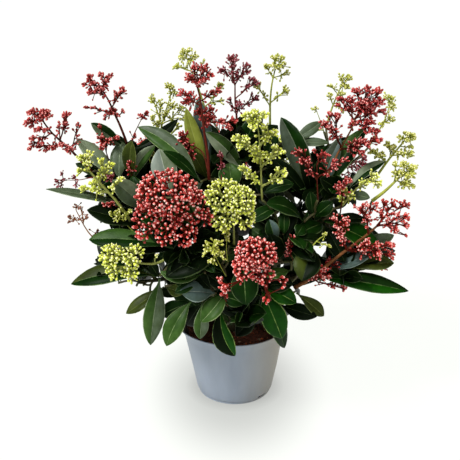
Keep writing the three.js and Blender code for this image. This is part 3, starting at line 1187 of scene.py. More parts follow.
@dataclass(frozen=True)
class Blade:
    """The flat leaf that all leaves are bent from: a short stalk, then a blade widest past its middle."""

    rows: tuple[float, ...] = (0, 0.05, 0.1, 0.17, 0.26, 0.37, 0.48, 0.59, 0.7, 0.8, 0.89, 0.955, 1)
    columns: tuple[float, ...] = (-1, -0.94, -0.5, -0.035, 0.035, 0.5, 0.94, 1)
    under: tuple[float, ...] = (-1, -0.5, -0.06, 0.06, 0.5, 1)
    stalk: float = 0.07  # length of the stalk, of the leaf's
    stalk_width: float = 0.1  # its width, of the blade's
    fullness: float = 0.74
    thickness: float = 0.55
    rib: float = 0.5  # how far the midrib stands out below

    def side(self, form: Form, columns: tuple[float, ...], lower: bool) -> None:
        """Adds the upper or the lower side, as along, across and layer.

        Args:
            form: the bmesh that takes it.
            columns: where its lines run, across the leaf.
            lower: whether it is the lower side.
        """
        along, wide = len(self.rows) - 1, len(columns) - 1
        made = bmesh.ops.create_grid(form, x_segments=along, y_segments=wide, size=0.5)["verts"]
        for vertex in made:
            u = self.rows[round((vertex.co.x + 0.5) * along)]
            v = columns[round((vertex.co.y + 0.5) * wide)]
            vertex.co = (u, v, -1 if lower and abs(v) < 1 else 0)
        for face in {face for vertex in made for face in vertex.link_faces}:
            middle = face.calc_center_median().y
            half = 0 if middle < 0 else 4
            edge = 2 if abs(middle) > 0.95 else half
            face.material_index = 1 if abs(middle) < 0.02 else 3 if lower else edge
        if lower:
            faces = list({face for vertex in made for face in vertex.link_faces})
            bmesh.ops.reverse_faces(form, faces=faces)

    def shape(self) -> Shape:
        """Makes the closed flat leaf.

        Returns:
            The leaf, whose surfaces are left half, midrib, margin, lower side and right half.
        """
        form = bmesh.new()
        self.side(form, self.columns, lower=False)
        self.side(form, self.under, lower=True)
        bmesh.ops.remove_doubles(form, verts=form.verts, dist=1e-5)
        open_ends = [edge for edge in form.edges if edge.is_boundary]
        for face in bmesh.ops.holes_fill(form, edges=open_ends, sides=0)["faces"]:
            face.material_index = 2
        bmesh.ops.recalc_face_normals(form, faces=form.faces)
        return Shape.read(form)

    def half_width(self, along: Array, skew: Array) -> Array:
        """Gives the outlines of blades.

        Args:
            along: the places, from 0 at the foot to 1 at the tip.
            skew: how far the widest place of each leaf lies past the middle.

        Returns:
            The half widths, of the widest.
        """
        part = np.clip((along - self.stalk) / (1 - self.stalk), 0, 1)
        wide = np.sin(math.pi * part ** skew[:, None]) ** self.fullness
        return np.maximum(wide, np.where(along < 0.5, self.stalk_width, 0.035))

    def bend(self, shape: Shape, leaves: Bent) -> Array:
        """Bends the flat leaf into each leaf's own curve.

        Args:
            shape: the flat leaf.
            leaves: how each leaf stands.

        Returns:
            The places of the corners in each leaf.
        """
        along, out, layer = (shape.corners[None, :, k] for k in range(3))
        line = leaves.tip - leaves.foot
        length = np.linalg.norm(line, axis=1)[:, None]
        straight = line / length
        upper = unit(leaves.face - (leaves.face * straight).sum(1, keepdims=True) * straight)
        side = np.cross(straight, upper)
        arch, bow = leaves.arch[:, None] * length, leaves.bow[:, None] * length
        rise, run = 4 * along * (1 - along), 4 * (1 - 2 * along)
        upper, side, line = upper[:, None], side[:, None], line[:, None]
        middle = (
            leaves.foot[:, None] + line * along[..., None]
            + upper * (arch * rise)[..., None] + side * (bow * rise)[..., None]
        )
        heading = unit(line + upper * (arch * run)[..., None] + side * (bow * run)[..., None])
        over = unit(upper - (upper * heading).sum(-1, keepdims=True) * heading)
        beside = np.cross(heading, over)
        turn = np.radians(leaves.twist)[:, None] * (along - 0.2)
        cos, sin = np.cos(turn)[..., None], np.sin(turn)[..., None]
        over, beside = over * cos + beside * sin, beside * cos - over * sin
        half = leaves.width[:, None] / 2 * self.half_width(along, leaves.skew)
        fold = np.radians(leaves.fold)[:, None] * np.clip(along * 4, 0.4, 1)
        wave = 0.05 * np.sin(along * 11 + leaves.width[:, None] * 3 + np.sign(out) * 1.2) * out**2
        swell = 0.16 * (1 - (2 * np.abs(out) - 1) ** 2) - 0.12 * out**4 + wave
        height = np.abs(out) * half * np.sin(fold) + half * swell * np.clip(np.abs(out) * 12, 0, 1)
        sunk = np.where((np.abs(out) < 0.1) & (layer == 0), 0.35, 0.0)
        thick = self.thickness + np.where(np.abs(out) < 0.1, self.rib, 0.0) * (1 - along)
        height = height - sunk * np.clip(half / 6, 0, 1) + layer * thick
        return middle + beside * (out * half * np.cos(fold))[..., None] + over * height[..., None]


# The shoots whose leaves make the plant's front. Their grey tints are painted sheen, BLACK is painted shade,
# and a second tint paints sheen or shade over one half of a leaf.
SHOOTS = (
    Shoot((127, 150), 5, (Leaf((91, 123), 0, 16, SAGE, (-20, 40), 20, 0.07, other=DEEP),
        Leaf((178, 119), 15, 14, BLACK, (20, 40), 14, bow=0.1))),
    Shoot((119, 182), -22, (Leaf((77, 139), -5, 21, GREY, (-10, 65), 10, 0.06),
        Leaf((121, 141), 5, 22, SAGE, (-15, 25), 8, 0.06), Leaf((100, 160), 25, 20, BLACK))),
    Shoot((133, 182), -26, (Leaf((132, 141), -35, 19, MOSS, (-20, 20), 20, 0.05, -0.04),
        Leaf((155.5, 145.5), -30, 14, GREY, (20, 30), 16, 0.05, -0.12, other=MID))),
    Shoot((146, 213), -50, (Leaf((112.5, 180.5), -72, 24, SAGE, (-10, 40), 10, 0.05, 0.04, other=GREY),
        Leaf((46, 189), -40, 16, SAGE, (0, 76), 8, 0.06, -0.015, skew=1.4),
        Leaf((112, 204), -20, 16, BLACK), Leaf((132, 176), -35, 20, DEEP, (0, 30)))),
    Shoot((150, 229), -52, (Leaf((87, 210), -62, 27, BLACK, (0, 60), 12, 0.04, skew=1.6),)),
    Shoot((184, 250), -88, (Leaf((89, 239.5), -80, 26, DEEP, (0, 55), 10, 0.08, 0.01, other=MID, skew=1.8),
        Leaf((152, 205), -75, 22, BLACK, (-10, 40)))),
    Shoot((140, 262), -72, (Leaf((99, 262), -70, 18, DEEP, (0, 50)), Leaf((120, 236), -60, 18, BLACK))),
    Shoot((160, 276), -86, (Leaf((71, 284), -80, 27, DEEP, (0, 60), 10, 0.1, 0.02, other=MOSS, skew=1.35),
        Leaf((150.5, 345), -100, 24, SAGE, (10, 10), 14, 0.07, 0.02, other=MID, skew=1.0),
        Leaf((149, 262), -80, 13, BLACK, (-10, 40)))),
    Shoot((165, 286), -84, (Leaf((126, 313.5), -92, 18, MOSS, (-30, 45), 12, 0.03, -0.02),
        Leaf((184, 293), -100, 14, MOSS, (0, 30)))),
    Shoot((193, 299), -92, (Leaf((166.5, 346), -110, 23, MID, (-15, 20), 12, 0.06, 0.05),
        Leaf((161, 315), -88, 20, DEEP, (0, 30)))),
    Shoot((202, 301), -94, (Leaf((200, 339), -104, 17, SAGE, (10, 15), 14, 0.06, other=MID),
        Leaf((187, 325), -84, 22, BLACK, (-15, 25), 10, 0.05))),
    Shoot((216, 293), -112, (Leaf((180, 291), -126, 23, SLATE, (0, 40), 6, 0.04, skew=1.1),
        Leaf((244, 304), -118, 17, DEEP, (0, 30), 12, 0.05, -0.04))),
    Shoot((200, 280), -112, (Leaf((175, 293), -128, 12, DEEP, (0, 40), 10, 0.04),)),
    Shoot((205, 273), -114, (Leaf((160, 271), -118, 13, MID, (0, 50), 10, 0.02, -0.17),)),
    Shoot((228, 288), -104, (Leaf((201, 322), -126, 23, MID, (-20, 30), 20, 0.08, -0.06),
        Leaf((207, 274), -112, 15, BLACK, (-10, 30)))),
    Shoot((229, 246), -106, (Leaf((166, 277), -132, 34, BLACK, (-5, 50), 10, 0.08, 0.02),)),
    Shoot((243, 257), -118, (Leaf((246, 305), -138, 29, DEEP, (-5, 30), 14, 0.06),)),
    Shoot((220, 306), -84, (Leaf((235, 356), -92, 27, BRIGHT, (-22, 10), 25, 0.08, 0.07, other=BLACK),)),
    Shoot((259, 310), -70, (Leaf((236, 336), -84, 19, BLACK, (0, 25)),)),
    Shoot((262, 290), -90, (Leaf((282, 338.5), -88, 29, BRIGHT, (5, 20), 12, 0.08, skew=1.0),
        Leaf((284.6, 348), -64, 20, DEEP, (20, 20), 12, 0.06))),
    Shoot((262, 285), -96, (Leaf((296.5, 303), -118, 22, BRIGHT, (10, 40), 14, 0.05),
        Leaf((293, 284), -108, 20, BLACK, (0, 45)))),
    Shoot((291, 270), -88, (Leaf((267, 277), -112, 14, MID, (-10, 40)),)),
    Shoot((280, 260), -90, (Leaf((270, 234), -95, 20, BLACK, (-10, 40)),)),
    Shoot((280, 305), -70, (Leaf((317, 316.5), -84, 19, BLACK, (0, 35), 12, 0.05, 0.02, skew=1.0),)),
    Shoot((295, 292), -72, (Leaf((324, 316), -76, 17, MOSS, (15, 35), 20, 0.06, skew=1.4),)),
    Shoot((314, 276), -60, (
        Leaf((408.5, 291), -60, 26, DEEP, (0, 58), 12, 0.05, 0.012, other=BRIGHT, skew=1.05),)),
    Shoot((313, 243), -92, (Leaf((302, 281), -126, 30, BLACK, (-5, 30), 18, 0.06, other=MOSS),)),
    Shoot((328, 270), -50, (Leaf((394, 263), -60, 23, MOSS, (10, 60), 14, 0.06, skew=2.0),
        Leaf((372, 254), -64, 16, SLATE, (0, 50), 10, 0.04), Leaf((352, 240), -24, 20, SLATE, (0, 40)))),
    Shoot((352, 256), -24, (Leaf((394, 235), -20, 20, SAGE, (0, 55), 10, 0.06),)),
    Shoot((323, 220), -34, (Leaf((381, 248), -32, 30, BRIGHT, (0, 55), 10, 0.05),
        Leaf((366, 219), -30, 15, BLACK, (0, 55)), Leaf((345, 262), -60, 20, BLACK, (0, 40)))),
    Shoot((304, 222), -62, (Leaf((266.5, 204), -82, 23, DEEP, (-10, 55), 10, 0.1, 0.08),
        Leaf((297, 235), -80, 15, DEEP, (10, 30)))),
    Shoot((313, 217), -58, (Leaf((310, 191.5), -60, 14, DEEP, (0, 30), 20, 0.05),
        Leaf((333, 202), -64, 17, DEEP, (10, 40), 16, 0.05))),
    Shoot((284, 203), -66, (Leaf((249, 222), -84, 16, DEEP, (-10, 45)),
        Leaf((284, 234), -80, 12, DEEP, (0, 20)))),
    Shoot((277, 246), -90, (Leaf((269, 219.5), -82, 16, DEEP, (0, 20), 20, other=SLATE),
        Leaf((262, 236), -80, 20, BLACK, (0, 30)))),
    Shoot((322, 197), 2, (Leaf((366, 128), 26, 24, MID, (-20, 25), 14, 0.05, -0.03, other=DEEP),
        Leaf((341, 138), 18, 20, SMOKE, (-10, 25), 12, 0.05, -0.06, other=SLATE),
        Leaf((318, 160), -15, 18, BLACK, (0, 30)))),
    Shoot((346, 193), -16, (Leaf((386, 161), 0, 15, GREY, (-20, 50), 12, 0.04, -0.08, other=DEEP),
        Leaf((370, 198), -25, 14, SAGE, (0, 50)), Leaf((320, 178), -30, 20, BLACK, (0, 30)))),
    Shoot((312, 200), -8, (Leaf((281, 117.5), 20, 29, SMOKE, (-15, 12), 20, 0.03, 0.05, other=DEEP),
        Leaf((273, 158), -10, 18, BLACK, (-20, 40)), Leaf((300, 150), -30, 20, BLACK, (20, 30)))),
    Shoot((290, 143), 20, (Leaf((322, 121.5), 30, 15, SAGE, (10, 40), 14, 0.03, 0.02),
        Leaf((329, 143), 14, 16, SAGE, (20, 62), 12, 0.03, -0.02))),
    Shoot((261, 195), -50, (Leaf((294, 184), -50, 15, DEEP, (0, 40), 12, 0.05, -0.06),
        Leaf((262, 176), -40, 16, BLACK, (0, 40)))),
    Shoot((208, 178), -10, (Leaf((186, 108), 0, 18, OLIVE, (10, 12), 12, 0.04, -0.02, skew=1.1),
        Leaf((198, 98), 18, 21, SLATE, (10, 15), 12, 0.04), Leaf((191, 149), -20, 16, MOSS, (0, 30)),
        Leaf((211.5, 131), -14, 10, SLATE, (40, 20), 14, 0.03, other=DEEP))),
    Shoot((234, 198), -40, (Leaf((229, 163), -30, 27, MID, (-10, 30), skew=1.6),)),
    Shoot((246, 178), -22, (Leaf((205.5, 132), -15, 19, GREY, (-15, 40), 14, 0.05, 0.06, other=MID),)),
    Shoot((238, 178), -12, (Leaf((222, 128), 5, 20, BLACK, (0, 40)),
        Leaf((240, 125), 10, 18, BLACK, (10, 30)))),
    Shoot((266, 168), -5, (Leaf((273, 128), 15, 18, DEEP, (20, 40)),)),
    Shoot((201, 182), -50, (Leaf((138, 127), -8, 22, MID, (-20, 45), 12, 0.04, 0.08, other=SAGE),
        Leaf((163, 151), -60, 14, DEEP, (10, 35), 10, 0.04, 0.06))),
    Shoot((172, 198), -58, (Leaf((159, 149), -52, 29, PALE, (0, 28), 20, 0.05, other=GREY),)),
)


# The crown's leafy middle, in pixels, where light comes through only at the openings.
OUTLINE = (
    (112, 150), (128, 150), (146, 150), (163, 146), (186, 136), (192, 126), (212, 128), (222, 136),
    (240, 126), (262, 128), (272, 134), (270, 142), (285, 144), (296, 135), (312, 143), (345, 141),
    (352, 150), (344, 170), (354, 186), (358, 196), (334, 202), (330, 208), (340, 214), (356, 214),
    (372, 230), (386, 240), (388, 262), (364, 268), (330, 275), (300, 281), (290, 290), (287, 314),
    (200, 316), (176, 314), (170, 298), (158, 276), (110, 275), (97, 268), (101, 246), (120, 232),
    (124, 224), (100, 216), (92, 206), (112, 200), (116, 186), (108, 170),
)
# The openings: middle and radius, in pixels.
OPENINGS = (
    (279, 137, 4), (249, 164.5, 3), (107.8, 153.8, 2), (298.3, 201.5, 2.6), (340, 208, 4),
    (348, 207, 4), (276.5, 213, 2.8), (303, 216, 3), (252.5, 226, 1.4), (246, 236, 1.6),
    (193, 241, 1.5), (321.5, 249.5, 4.2), (163.2, 262.4, 3.4), (283.7, 263, 1), (356, 166, 7),
    (364, 158, 5), (376, 158.5, 3), (383, 180, 6), (369, 193.6, 5), (85, 183, 5), (100, 193, 5),
    (88, 203, 3), (105, 224, 6), (95, 218, 5), (146, 286, 6), (139, 288, 5), (153, 282, 4),
    (306, 292, 8), (322, 292, 8), (338, 298, 8), (374, 271, 2.5), (92, 251, 6), (88, 262, 5),
    (115, 290, 4), (124, 288, 4), (132, 288, 4), (177, 137, 3), (312, 139, 4), (320, 139, 4),
    (328, 139, 4), (364, 192, 6), (225, 117, 6), (219, 125, 3),
)


@dataclass
class Foliage:
    """All leaves: those of the front's own shoots, and whorls that fill the rest by a rule."""

    seed: int = 5
    whorls: int = 11  # shoots tried in each mass
    whorl_leaves: int = 8
    tries: int = 6  # how often a leaf is turned or shortened to keep clear of what it would spoil
    most_covering: int = 2500  # tries at closing what light comes through
    window: tuple[Pair, Pair] = ((90, 390), (125, 318))  # pixels across and down that are looked over
    grid: float = 3.0  # pixels between the spots that are looked at
    sources: int = 8  # the nearest shoots, of which one bears a covering leaf
    nearest: float = 14.0  # how near a shoot may be for that
    # Share of covering leaves painted nearly black as painted shade; the rest are deep green.
    painted_shade_share: float = 0.8  # covering leaves that are of the deepest green
    cover_depths: Pair = (-30.0, 70.0)  # y between which they stand
    past: Pair = (6.0, 26.0)  # how far they reach past the spot that they close
    opening: Pair = (38.0, 58.0)  # degrees off its axis at which the leaves of a whorl stand
    opening_out: float = 30.0  # how many more its last ones stand off
    reaches: Pair = (0.12, 0.42)  # how far out in a mass its shoots end, at the front and behind
    front_size: float = 0.86  # size of the front's filling, of the back's
    lengths: Pair = (58.0, 84.0)
    widths: Pair = (20.0, 27.0)
    full_length: float = 62.0  # length from which a leaf is as wide as drawn
    light_from: float = 45.0  # y beyond which the filling also has lighter leaves
    shortest: float = 34.0
    hem: float = 158.0  # height that the leaves of the front's filling stay above, at the middle
    hem_rise: float = 0.16  # how fast that height rises to either side
    blade: Blade = field(default_factory=Blade)
    rows: list[tuple] = field(default_factory=list)
    shoots: list[Array] = field(default_factory=list)

    def __post_init__(self) -> None:
        """Readies the random draws and the masses that the leaves fill."""
        self.draw = np.random.default_rng(self.seed)
        self.masses = nodes_named("foliage_")
        self.trees = {node: self.tree_of([node]) for node in self.masses}
        self.crown = self.tree_of(self.masses)
        self.openings = np.array(OPENINGS, float)
        self.marks = self.landmarks()

    def tree_of(self, nodes: list[str]) -> BVHTree:
        """Readies the joined surface of some CAD nodes for finding where lines cross it.

        Args:
            nodes: the nodes.

        Returns:
            The surface.
        """
        corners, faces = [], []
        for node in nodes:
            start = len(corners)
            corners += [Vector(corner) for corner in corners_of(node)]
            faces += [[start + i for i in face.vertices] for face in frame["nodes"][node].data.polygons]
        return BVHTree.FromPolygons(corners, faces)

    def last_crossing(self, tree: BVHTree, start: Array, heading: Array, most: float) -> float:
        """Finds how far along a line the surface is crossed for the last time.

        Args:
            tree: the surface.
            start: where the line starts.
            heading: its direction.
            most: how far to look.

        Returns:
            The distance, or 0 if the line doesn't cross it.
        """
        found, gone = 0.0, 0.0
        while gone < most:
            place = Vector(start + heading * gone)
            hit, _, _, distance = tree.ray_cast(place, Vector(heading), most - gone)
            if hit is None:
                break
            gone += distance + 0.5
            found = gone
        return found

    def add(
        self, foot: Array, tip: Array, width: float, face: Array, fold: float, arch: float, bow: float,
        twist: float, tint: Tint, other: Tint | None = None, skew: float = 1.25,
    ) -> None:
        """Adds one leaf from its foot to its tip, its face as a direction and the rest as in Leaf."""
        tints = tint.value, (other or tint).value
        self.rows.append((foot, tip, width, face, fold, arch, bow, twist, skew, *tints))

    def front(self) -> None:
        """Adds the leaves of the front's own shoots."""
        for shoot in SHOOTS:
            end = VIEW.at(shoot.seen, shoot.depth)
            self.shoots.append(end)
            for i, leaf in enumerate(shoot.leaves):
                tip = VIEW.at(leaf.tip, leaf.depth)
                foot = end + unit(tip - end) * 1.5 - UP * 1.6 * i
                shape = leaf.width, looking(leaf.face), leaf.fold, leaf.arch, leaf.bow, 0.0
                self.add(foot, tip, *shape, leaf.tint, leaf.other, leaf.skew)

    def landmarks(self) -> Array:
        """Lists what the filling must not hide.

        Returns:
            Pixel, depth and radius of parts of the front's leaves and heads.
        """
        marks = []
        for shoot in SHOOTS:
            for leaf in shoot.leaves:
                if leaf.tint is not BLACK:
                    for t in (0.25, 0.5, 0.75, 0.95):
                        seen = np.array(shoot.seen) * (1 - t) + np.array(leaf.tip) * t
                        marks.append((*seen, shoot.depth * (1 - t) + leaf.depth * t, 2.5))
        for head in HEADS:
            marks += [(*seen, head.depth, 1.0) for seen in head.stalk[2:]]
            for left, right, top, bottom in head.spans:
                marks.append(((left + right) / 2, (top + bottom) / 2, head.depth, (right - left) / 2))
        return np.array(marks)

    def reach(self, points: Array, foot: Array, tip: Array, width: float) -> tuple[Array, Array]:
        """Measures how a leaf lies to some pixels.

        Args:
            points: the pixels.
            foot: where the leaf starts.
            tip: where it ends.
            width: its width.

        Returns:
            How far outside its outline each pixel is, and the leaf's depth where it is nearest.
        """
        start, end = np.array(VIEW.seen(foot)), np.array(VIEW.seen(tip))
        line = end - start
        along = np.clip((points - start) @ line / max(line @ line, 1e-6), 0, 1)
        off = np.linalg.norm(start + line * along[:, None] - points, axis=1)
        half = width / 2 * VIEW.scale(tip) * self.blade.half_width(along[None], np.array([1.25]))[0]
        return off - half, foot[1] + (tip[1] - foot[1]) * along

    def spoils(self, foot: Array, tip: Array, width: float) -> bool:
        """Tells whether a leaf would close an opening, or hide a named leaf or a flower head.

        Args:
            foot: where the leaf starts.
            tip: where it ends.
            width: its width.

        Returns:
            Whether it would.
        """
        outside, _ = self.reach(self.openings[:, :2], foot, tip, width)
        if (outside < self.openings[:, 2]).any():
            return True
        outside, depth = self.reach(self.marks[:, :2], foot, tip, width)
        return bool(((outside < self.marks[:, 3]) & (depth < self.marks[:, 2] + 4)).any())

    def cover(self) -> None:
        """Closes what light comes through the leafy middle with leaves from the nearest shoots, mostly
        painted nearly black as painted shade.
        """
        draw, edge = self.draw, np.array(OUTLINE, float)
        sides = [np.arange(low, high, self.grid) for low, high in self.window]
        grid = np.stack(np.meshgrid(*sides), -1).reshape(-1, 2)
        inside = np.zeros(len(grid), bool)
        for one, other in zip(edge, np.roll(edge, -1, 0)):
            spans = (one[1] > grid[:, 1]) != (other[1] > grid[:, 1])
            rise = other[1] - one[1] if other[1] != one[1] else 1e-9
            inside ^= spans & (grid[:, 0] < (other[0] - one[0]) * (grid[:, 1] - one[1]) / rise + one[0])
        away = np.linalg.norm(grid[:, None] - self.openings[None, :, :2], axis=2)
        bare = grid[inside & (away > self.openings[:, 2] + 1).all(1)]
        for row in self.rows:
            bare = bare[self.reach(bare, row[0], row[1], row[2] * 0.8)[0] > 0]
        ends = np.array(self.shoots)
        added = 0
        for _ in range(self.most_covering):
            if not len(bare):
                break
            spot = VIEW.at(tuple(bare[draw.integers(len(bare))]), draw.uniform(*self.cover_depths))
            gaps = np.linalg.norm(ends - spot, axis=1)
            order = np.argsort(gaps)
            near = [i for i in order if gaps[i] > self.nearest][: self.sources]
            foot = ends[near[draw.integers(len(near))]]
            heading = unit(spot - foot)
            length = max(self.shortest, np.linalg.norm(spot - foot) + draw.uniform(*self.past))
            tip = foot + heading * length
            width = draw.uniform(*self.widths) * min(1, length / self.full_length)
            if length > self.lengths[1] * 1.15 or self.spoils(foot, tip, width):
                continue
            tint = BLACK if draw.random() < self.painted_shade_share else DEEP
            face = unit(np.array(VIEW.place) - spot) + draw.normal(0, 0.35, 3)
            shape = draw.uniform(6, 16), draw.uniform(0.02, 0.08), 0.0, draw.uniform(-12, 12)
            self.add(foot, tip, width, face, *shape, tint)
            bare = bare[self.reach(bare, foot, tip, width * 0.8)[0] > 0]
            added += 1
        LOG.info("leafy middle: %d covering leaves, %d spots left bare", added, len(bare))

    def whorl(self, end: Array, axis: Array, leaves: int, tints: list[Tint], size: float) -> None:
        """Adds a whorl of leaves round the end of a shoot, inside the crown.

        Args:
            end: the shoot's end.
            axis: the way the shoot points.
            leaves: how many leaves.
            tints: the tints that are dealt out.
            size: the leaves' size, of the usual.
        """
        draw = self.draw
        first, second = across(axis)
        start = draw.uniform(0, 2 * math.pi)
        for i in range(leaves):
            for attempt in range(self.tries):
                turn = start + i * GOLDEN_ANGLE + 0.35 * attempt
                spread = math.radians(draw.uniform(*self.opening) + self.opening_out * i / leaves)
                round_axis = math.cos(turn) * first + math.sin(turn) * second
                heading = unit(axis * math.cos(spread) + round_axis * math.sin(spread))
                length = draw.uniform(*self.lengths) * size * (1 - 0.08 * attempt)
                room = self.last_crossing(self.crown, end, heading, length * 1.3)
                if room:
                    length = min(length, room * 1.03)
                foot = end - axis * 1.7 * i + round_axis
                tip = foot + heading * length
                width = draw.uniform(*self.widths) * min(1, length / self.full_length)
                low = tip[1] < 20 and tip[2] < self.hem + self.hem_rise * abs(tip[0])
                if length < self.shortest or low or self.spoils(foot, tip, width):
                    continue
                tint = tints[draw.integers(len(tints))]
                tip = tip - UP * length * draw.uniform(0.02, 0.12)
                ranges = (6, 18), (0.05, 0.11), (-0.04, 0.04), (-18, 18)
                shape = [draw.uniform(*ends) for ends in ranges]
                self.add(foot, tip, width, axis + 0.3 * UP, *shape, tint)
                break

    def fill(self, node: str) -> None:
        """Fills one mass with whorls: close under its surface at the back, deeper at the front.

        Args:
            node: the mass's CAD node.
        """
        low, high = (np.array(corner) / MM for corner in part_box(node))
        middle = (low + high) / 2
        eye = unit(np.array(VIEW.place) - middle)
        for direction in cap_directions(self.whorls, UP, -0.9, self.draw.uniform(0, 6)):
            reach = self.last_crossing(self.trees[node], middle, direction, 200)
            front = float(direction @ eye) > 0.05 and middle[1] < 60
            end = middle + direction * reach * self.reaches[0 if front else 1]
            axis = unit(direction + 0.5 * UP)
            # The front of the filling is painted shade: nearly black leaves, with some deep green; farther
            # back it also takes mid green and grey, a painted sheen.
            tints = [BLACK, BLACK, DEEP]
            if end[1] > self.light_from:
                tints = [DEEP, DEEP, MID, BLACK, GREY]
            self.shoots.append(end)
            self.whorl(end, axis, self.whorl_leaves, tints, self.front_size if front else 1.0)

    def build(self) -> None:
        """Makes the pieces, the front's leaves apart from the back's."""
        shape = self.blade.shape()
        columns = list(zip(*self.rows))
        bent = Bent(*[np.array(column, float) for column in columns[:9]], *np.array(columns[9:], int))
        finishes, palette = [], np.zeros((len(Tint), 4), int)
        for tint, finish in LEAF_FINISHES.items():
            palette[tint.value] = np.arange(4) + len(finishes)
            finishes += [finish.blade, finish.midrib, finish.margin, finish.under]
        corners = self.blade.bend(shape, bent)
        crease = np.abs(shape.corners[:, 1]) > 0.99
        back = bent.foot[:, 1] > 10
        for name, chosen, nodes in (
            ("leaves_front", ~back, [n for n in self.masses if "back" not in n]),
            ("leaves_back", back, [n for n in self.masses if "back" in n]),
        ):
            joined = Joined()
            # The right half takes the blade of the leaf's other tint: a painted sheen or painted shade.
            slots = np.hstack([palette[bent.tint[chosen]], palette[bent.other[chosen], :1]])
            joined.add(shape, corners[chosen], slots, crease)
            dressed(name, joined.mesh(name), finishes, nodes)


# ---- twigs


@dataclass
class Twigs:
    """The boughs that fork on from the limbs, inside the leaves, to every shoot and flower head."""

    tip_radius: float = 1.25
    thickening: float = 0.42  # a twig that feeds n shoots is n to this power thicker
    fork_at: float = 0.45  # how far on towards its shoots a twig forks
    rod: Rod = field(default_factory=lambda: Rod(9, 8))
    lines: list[Array] = field(default_factory=list)
    radii: list[Array] = field(default_factory=list)

    def girth(self, count: int) -> float:
        """Gives the radius of a twig that feeds a number of shoots."""
        return self.tip_radius * count**self.thickening

    def grow(self, start: Array, heading: Array, goals: Array) -> None:
        """Grows a twig to its shoots, forking in two where they lie apart.

        Args:
            start: where the twig starts.
            heading: the way it sets out.
            goals: the shoots' ends that it feeds, one in each row.
        """
        middle = goals.mean(0)
        alone = len(goals) == 1
        end = middle if alone else start + (middle - start) * self.fork_at
        bend = start + heading * np.linalg.norm(end - start) * 0.4
        line = bezier(start, bend, end, self.rod.rings)
        self.lines.append(line)
        last = self.girth(max(1, math.ceil(len(goals) / 2)))
        self.radii.append(np.linspace(self.girth(len(goals)), last, self.rod.rings))
        if alone:
            return
        for half in parted(goals):
            self.grow(end, unit(line[-1] - line[-2]), half)

    def build(self, limbs: list[Limb], goals: Array) -> None:
        """Grows all twigs, each shoot from the nearest limb's end, and makes the piece.

        Args:
            limbs: the limbs that they grow from.
            goals: the ends of all shoots.
        """
        ends = [limb.end() for limb in limbs]
        places = np.array([place for place, _ in ends])
        nearest = np.linalg.norm(goals[:, None] - places[None], axis=2).argmin(1)
        for i, (place, heading) in enumerate(ends):
            if (nearest == i).any():
                self.grow(place, heading, goals[nearest == i])
        shape = self.rod.shape()
        corners = self.rod.run(shape, np.array(self.lines), np.array(self.radii))
        joined = Joined()
        joined.add(shape, corners, (np.array(self.radii)[:, :1] < 2.0).astype(int))
        dressed("twigs", joined.mesh("twigs"), [YOUNG_BARK, GREEN_WOOD], [])


# ---- flower heads


@dataclass(frozen=True)
class Bud:
    """A closed flower bud on a small calyx: a blunt egg with four seams between its petals."""

    segments: int = 8
    rings: tuple[Pair, ...] = ((0.28, -0.46), (0.48, -0.16), (0.49, 0.12), (0.38, 0.36), (0.2, 0.51))
    foot: float = -0.6
    top: float = 0.57
    seam: float = 0.09  # how far the seams sink

    def shape(self) -> Shape:
        """Makes the upright bud, one unit wide.

        Returns:
            The bud, whose surfaces are tip, sides and calyx.
        """
        form = bmesh.new()
        bmesh.ops.create_uvsphere(form, u_segments=self.segments, v_segments=len(self.rings) + 1, radius=1)
        heights = sorted({round(v.co.z, 3) for v in form.verts})
        for vertex in form.verts:
            level = heights.index(round(vertex.co.z, 3))
            if level in (0, len(heights) - 1):
                vertex.co = (0, 0, self.top if level else self.foot)
                continue
            radius, height = self.rings[level - 1]
            angle = math.atan2(vertex.co.y, vertex.co.x)
            sunk = self.seam * (0.5 - 0.5 * math.cos(4 * angle)) * (level > 1)
            vertex.co = (math.cos(angle) * (radius - sunk), math.sin(angle) * (radius - sunk), height)
        for face in form.faces:
            middle = face.calc_center_median().z
            face.material_index = 2 if middle < -0.4 else 0 if middle > 0.4 else 1
        return Shape.read(form)


@dataclass(frozen=True)
class Head:
    """One flower head: its stalk as seen from its foot up, and the fans of branches that it bears."""

    name: str
    bloom: Bloom
    stalk: tuple[Pixel, ...]
    depth: float  # y of the head
    foot_depth: float  # y of its stalk's foot
    fans: tuple[tuple[Pixel | Span | None, ...], ...]  # where each leaves the stalk, and the spans it fills
    girth: float = 1.2  # radius of the stalk at its foot
    bud: float = 3.0  # width of a bud
    openness: float = 1.0  # how much farther apart than usual the buds are
    dome: bool = False  # whether it is one broad dome round the stalk's tip
    gaps: tuple[float, ...] = ()  # how much farther apart still the buds of each fan are
    stalk_bloom: Bloom | None = None  # whose stalk it has, if not that of its own buds

    @property
    def spans(self) -> Array:
        """Lists the spans of all its fans."""
        return np.array([span for _, *spans in self.fans for span in spans], float)

    @property
    def side(self) -> str:
        """Names the side of the plant whose piece it belongs to."""
        return "front" if self.dome else "left" if self.stalk[-1][0] < VIEW.frame / 2 else "right"


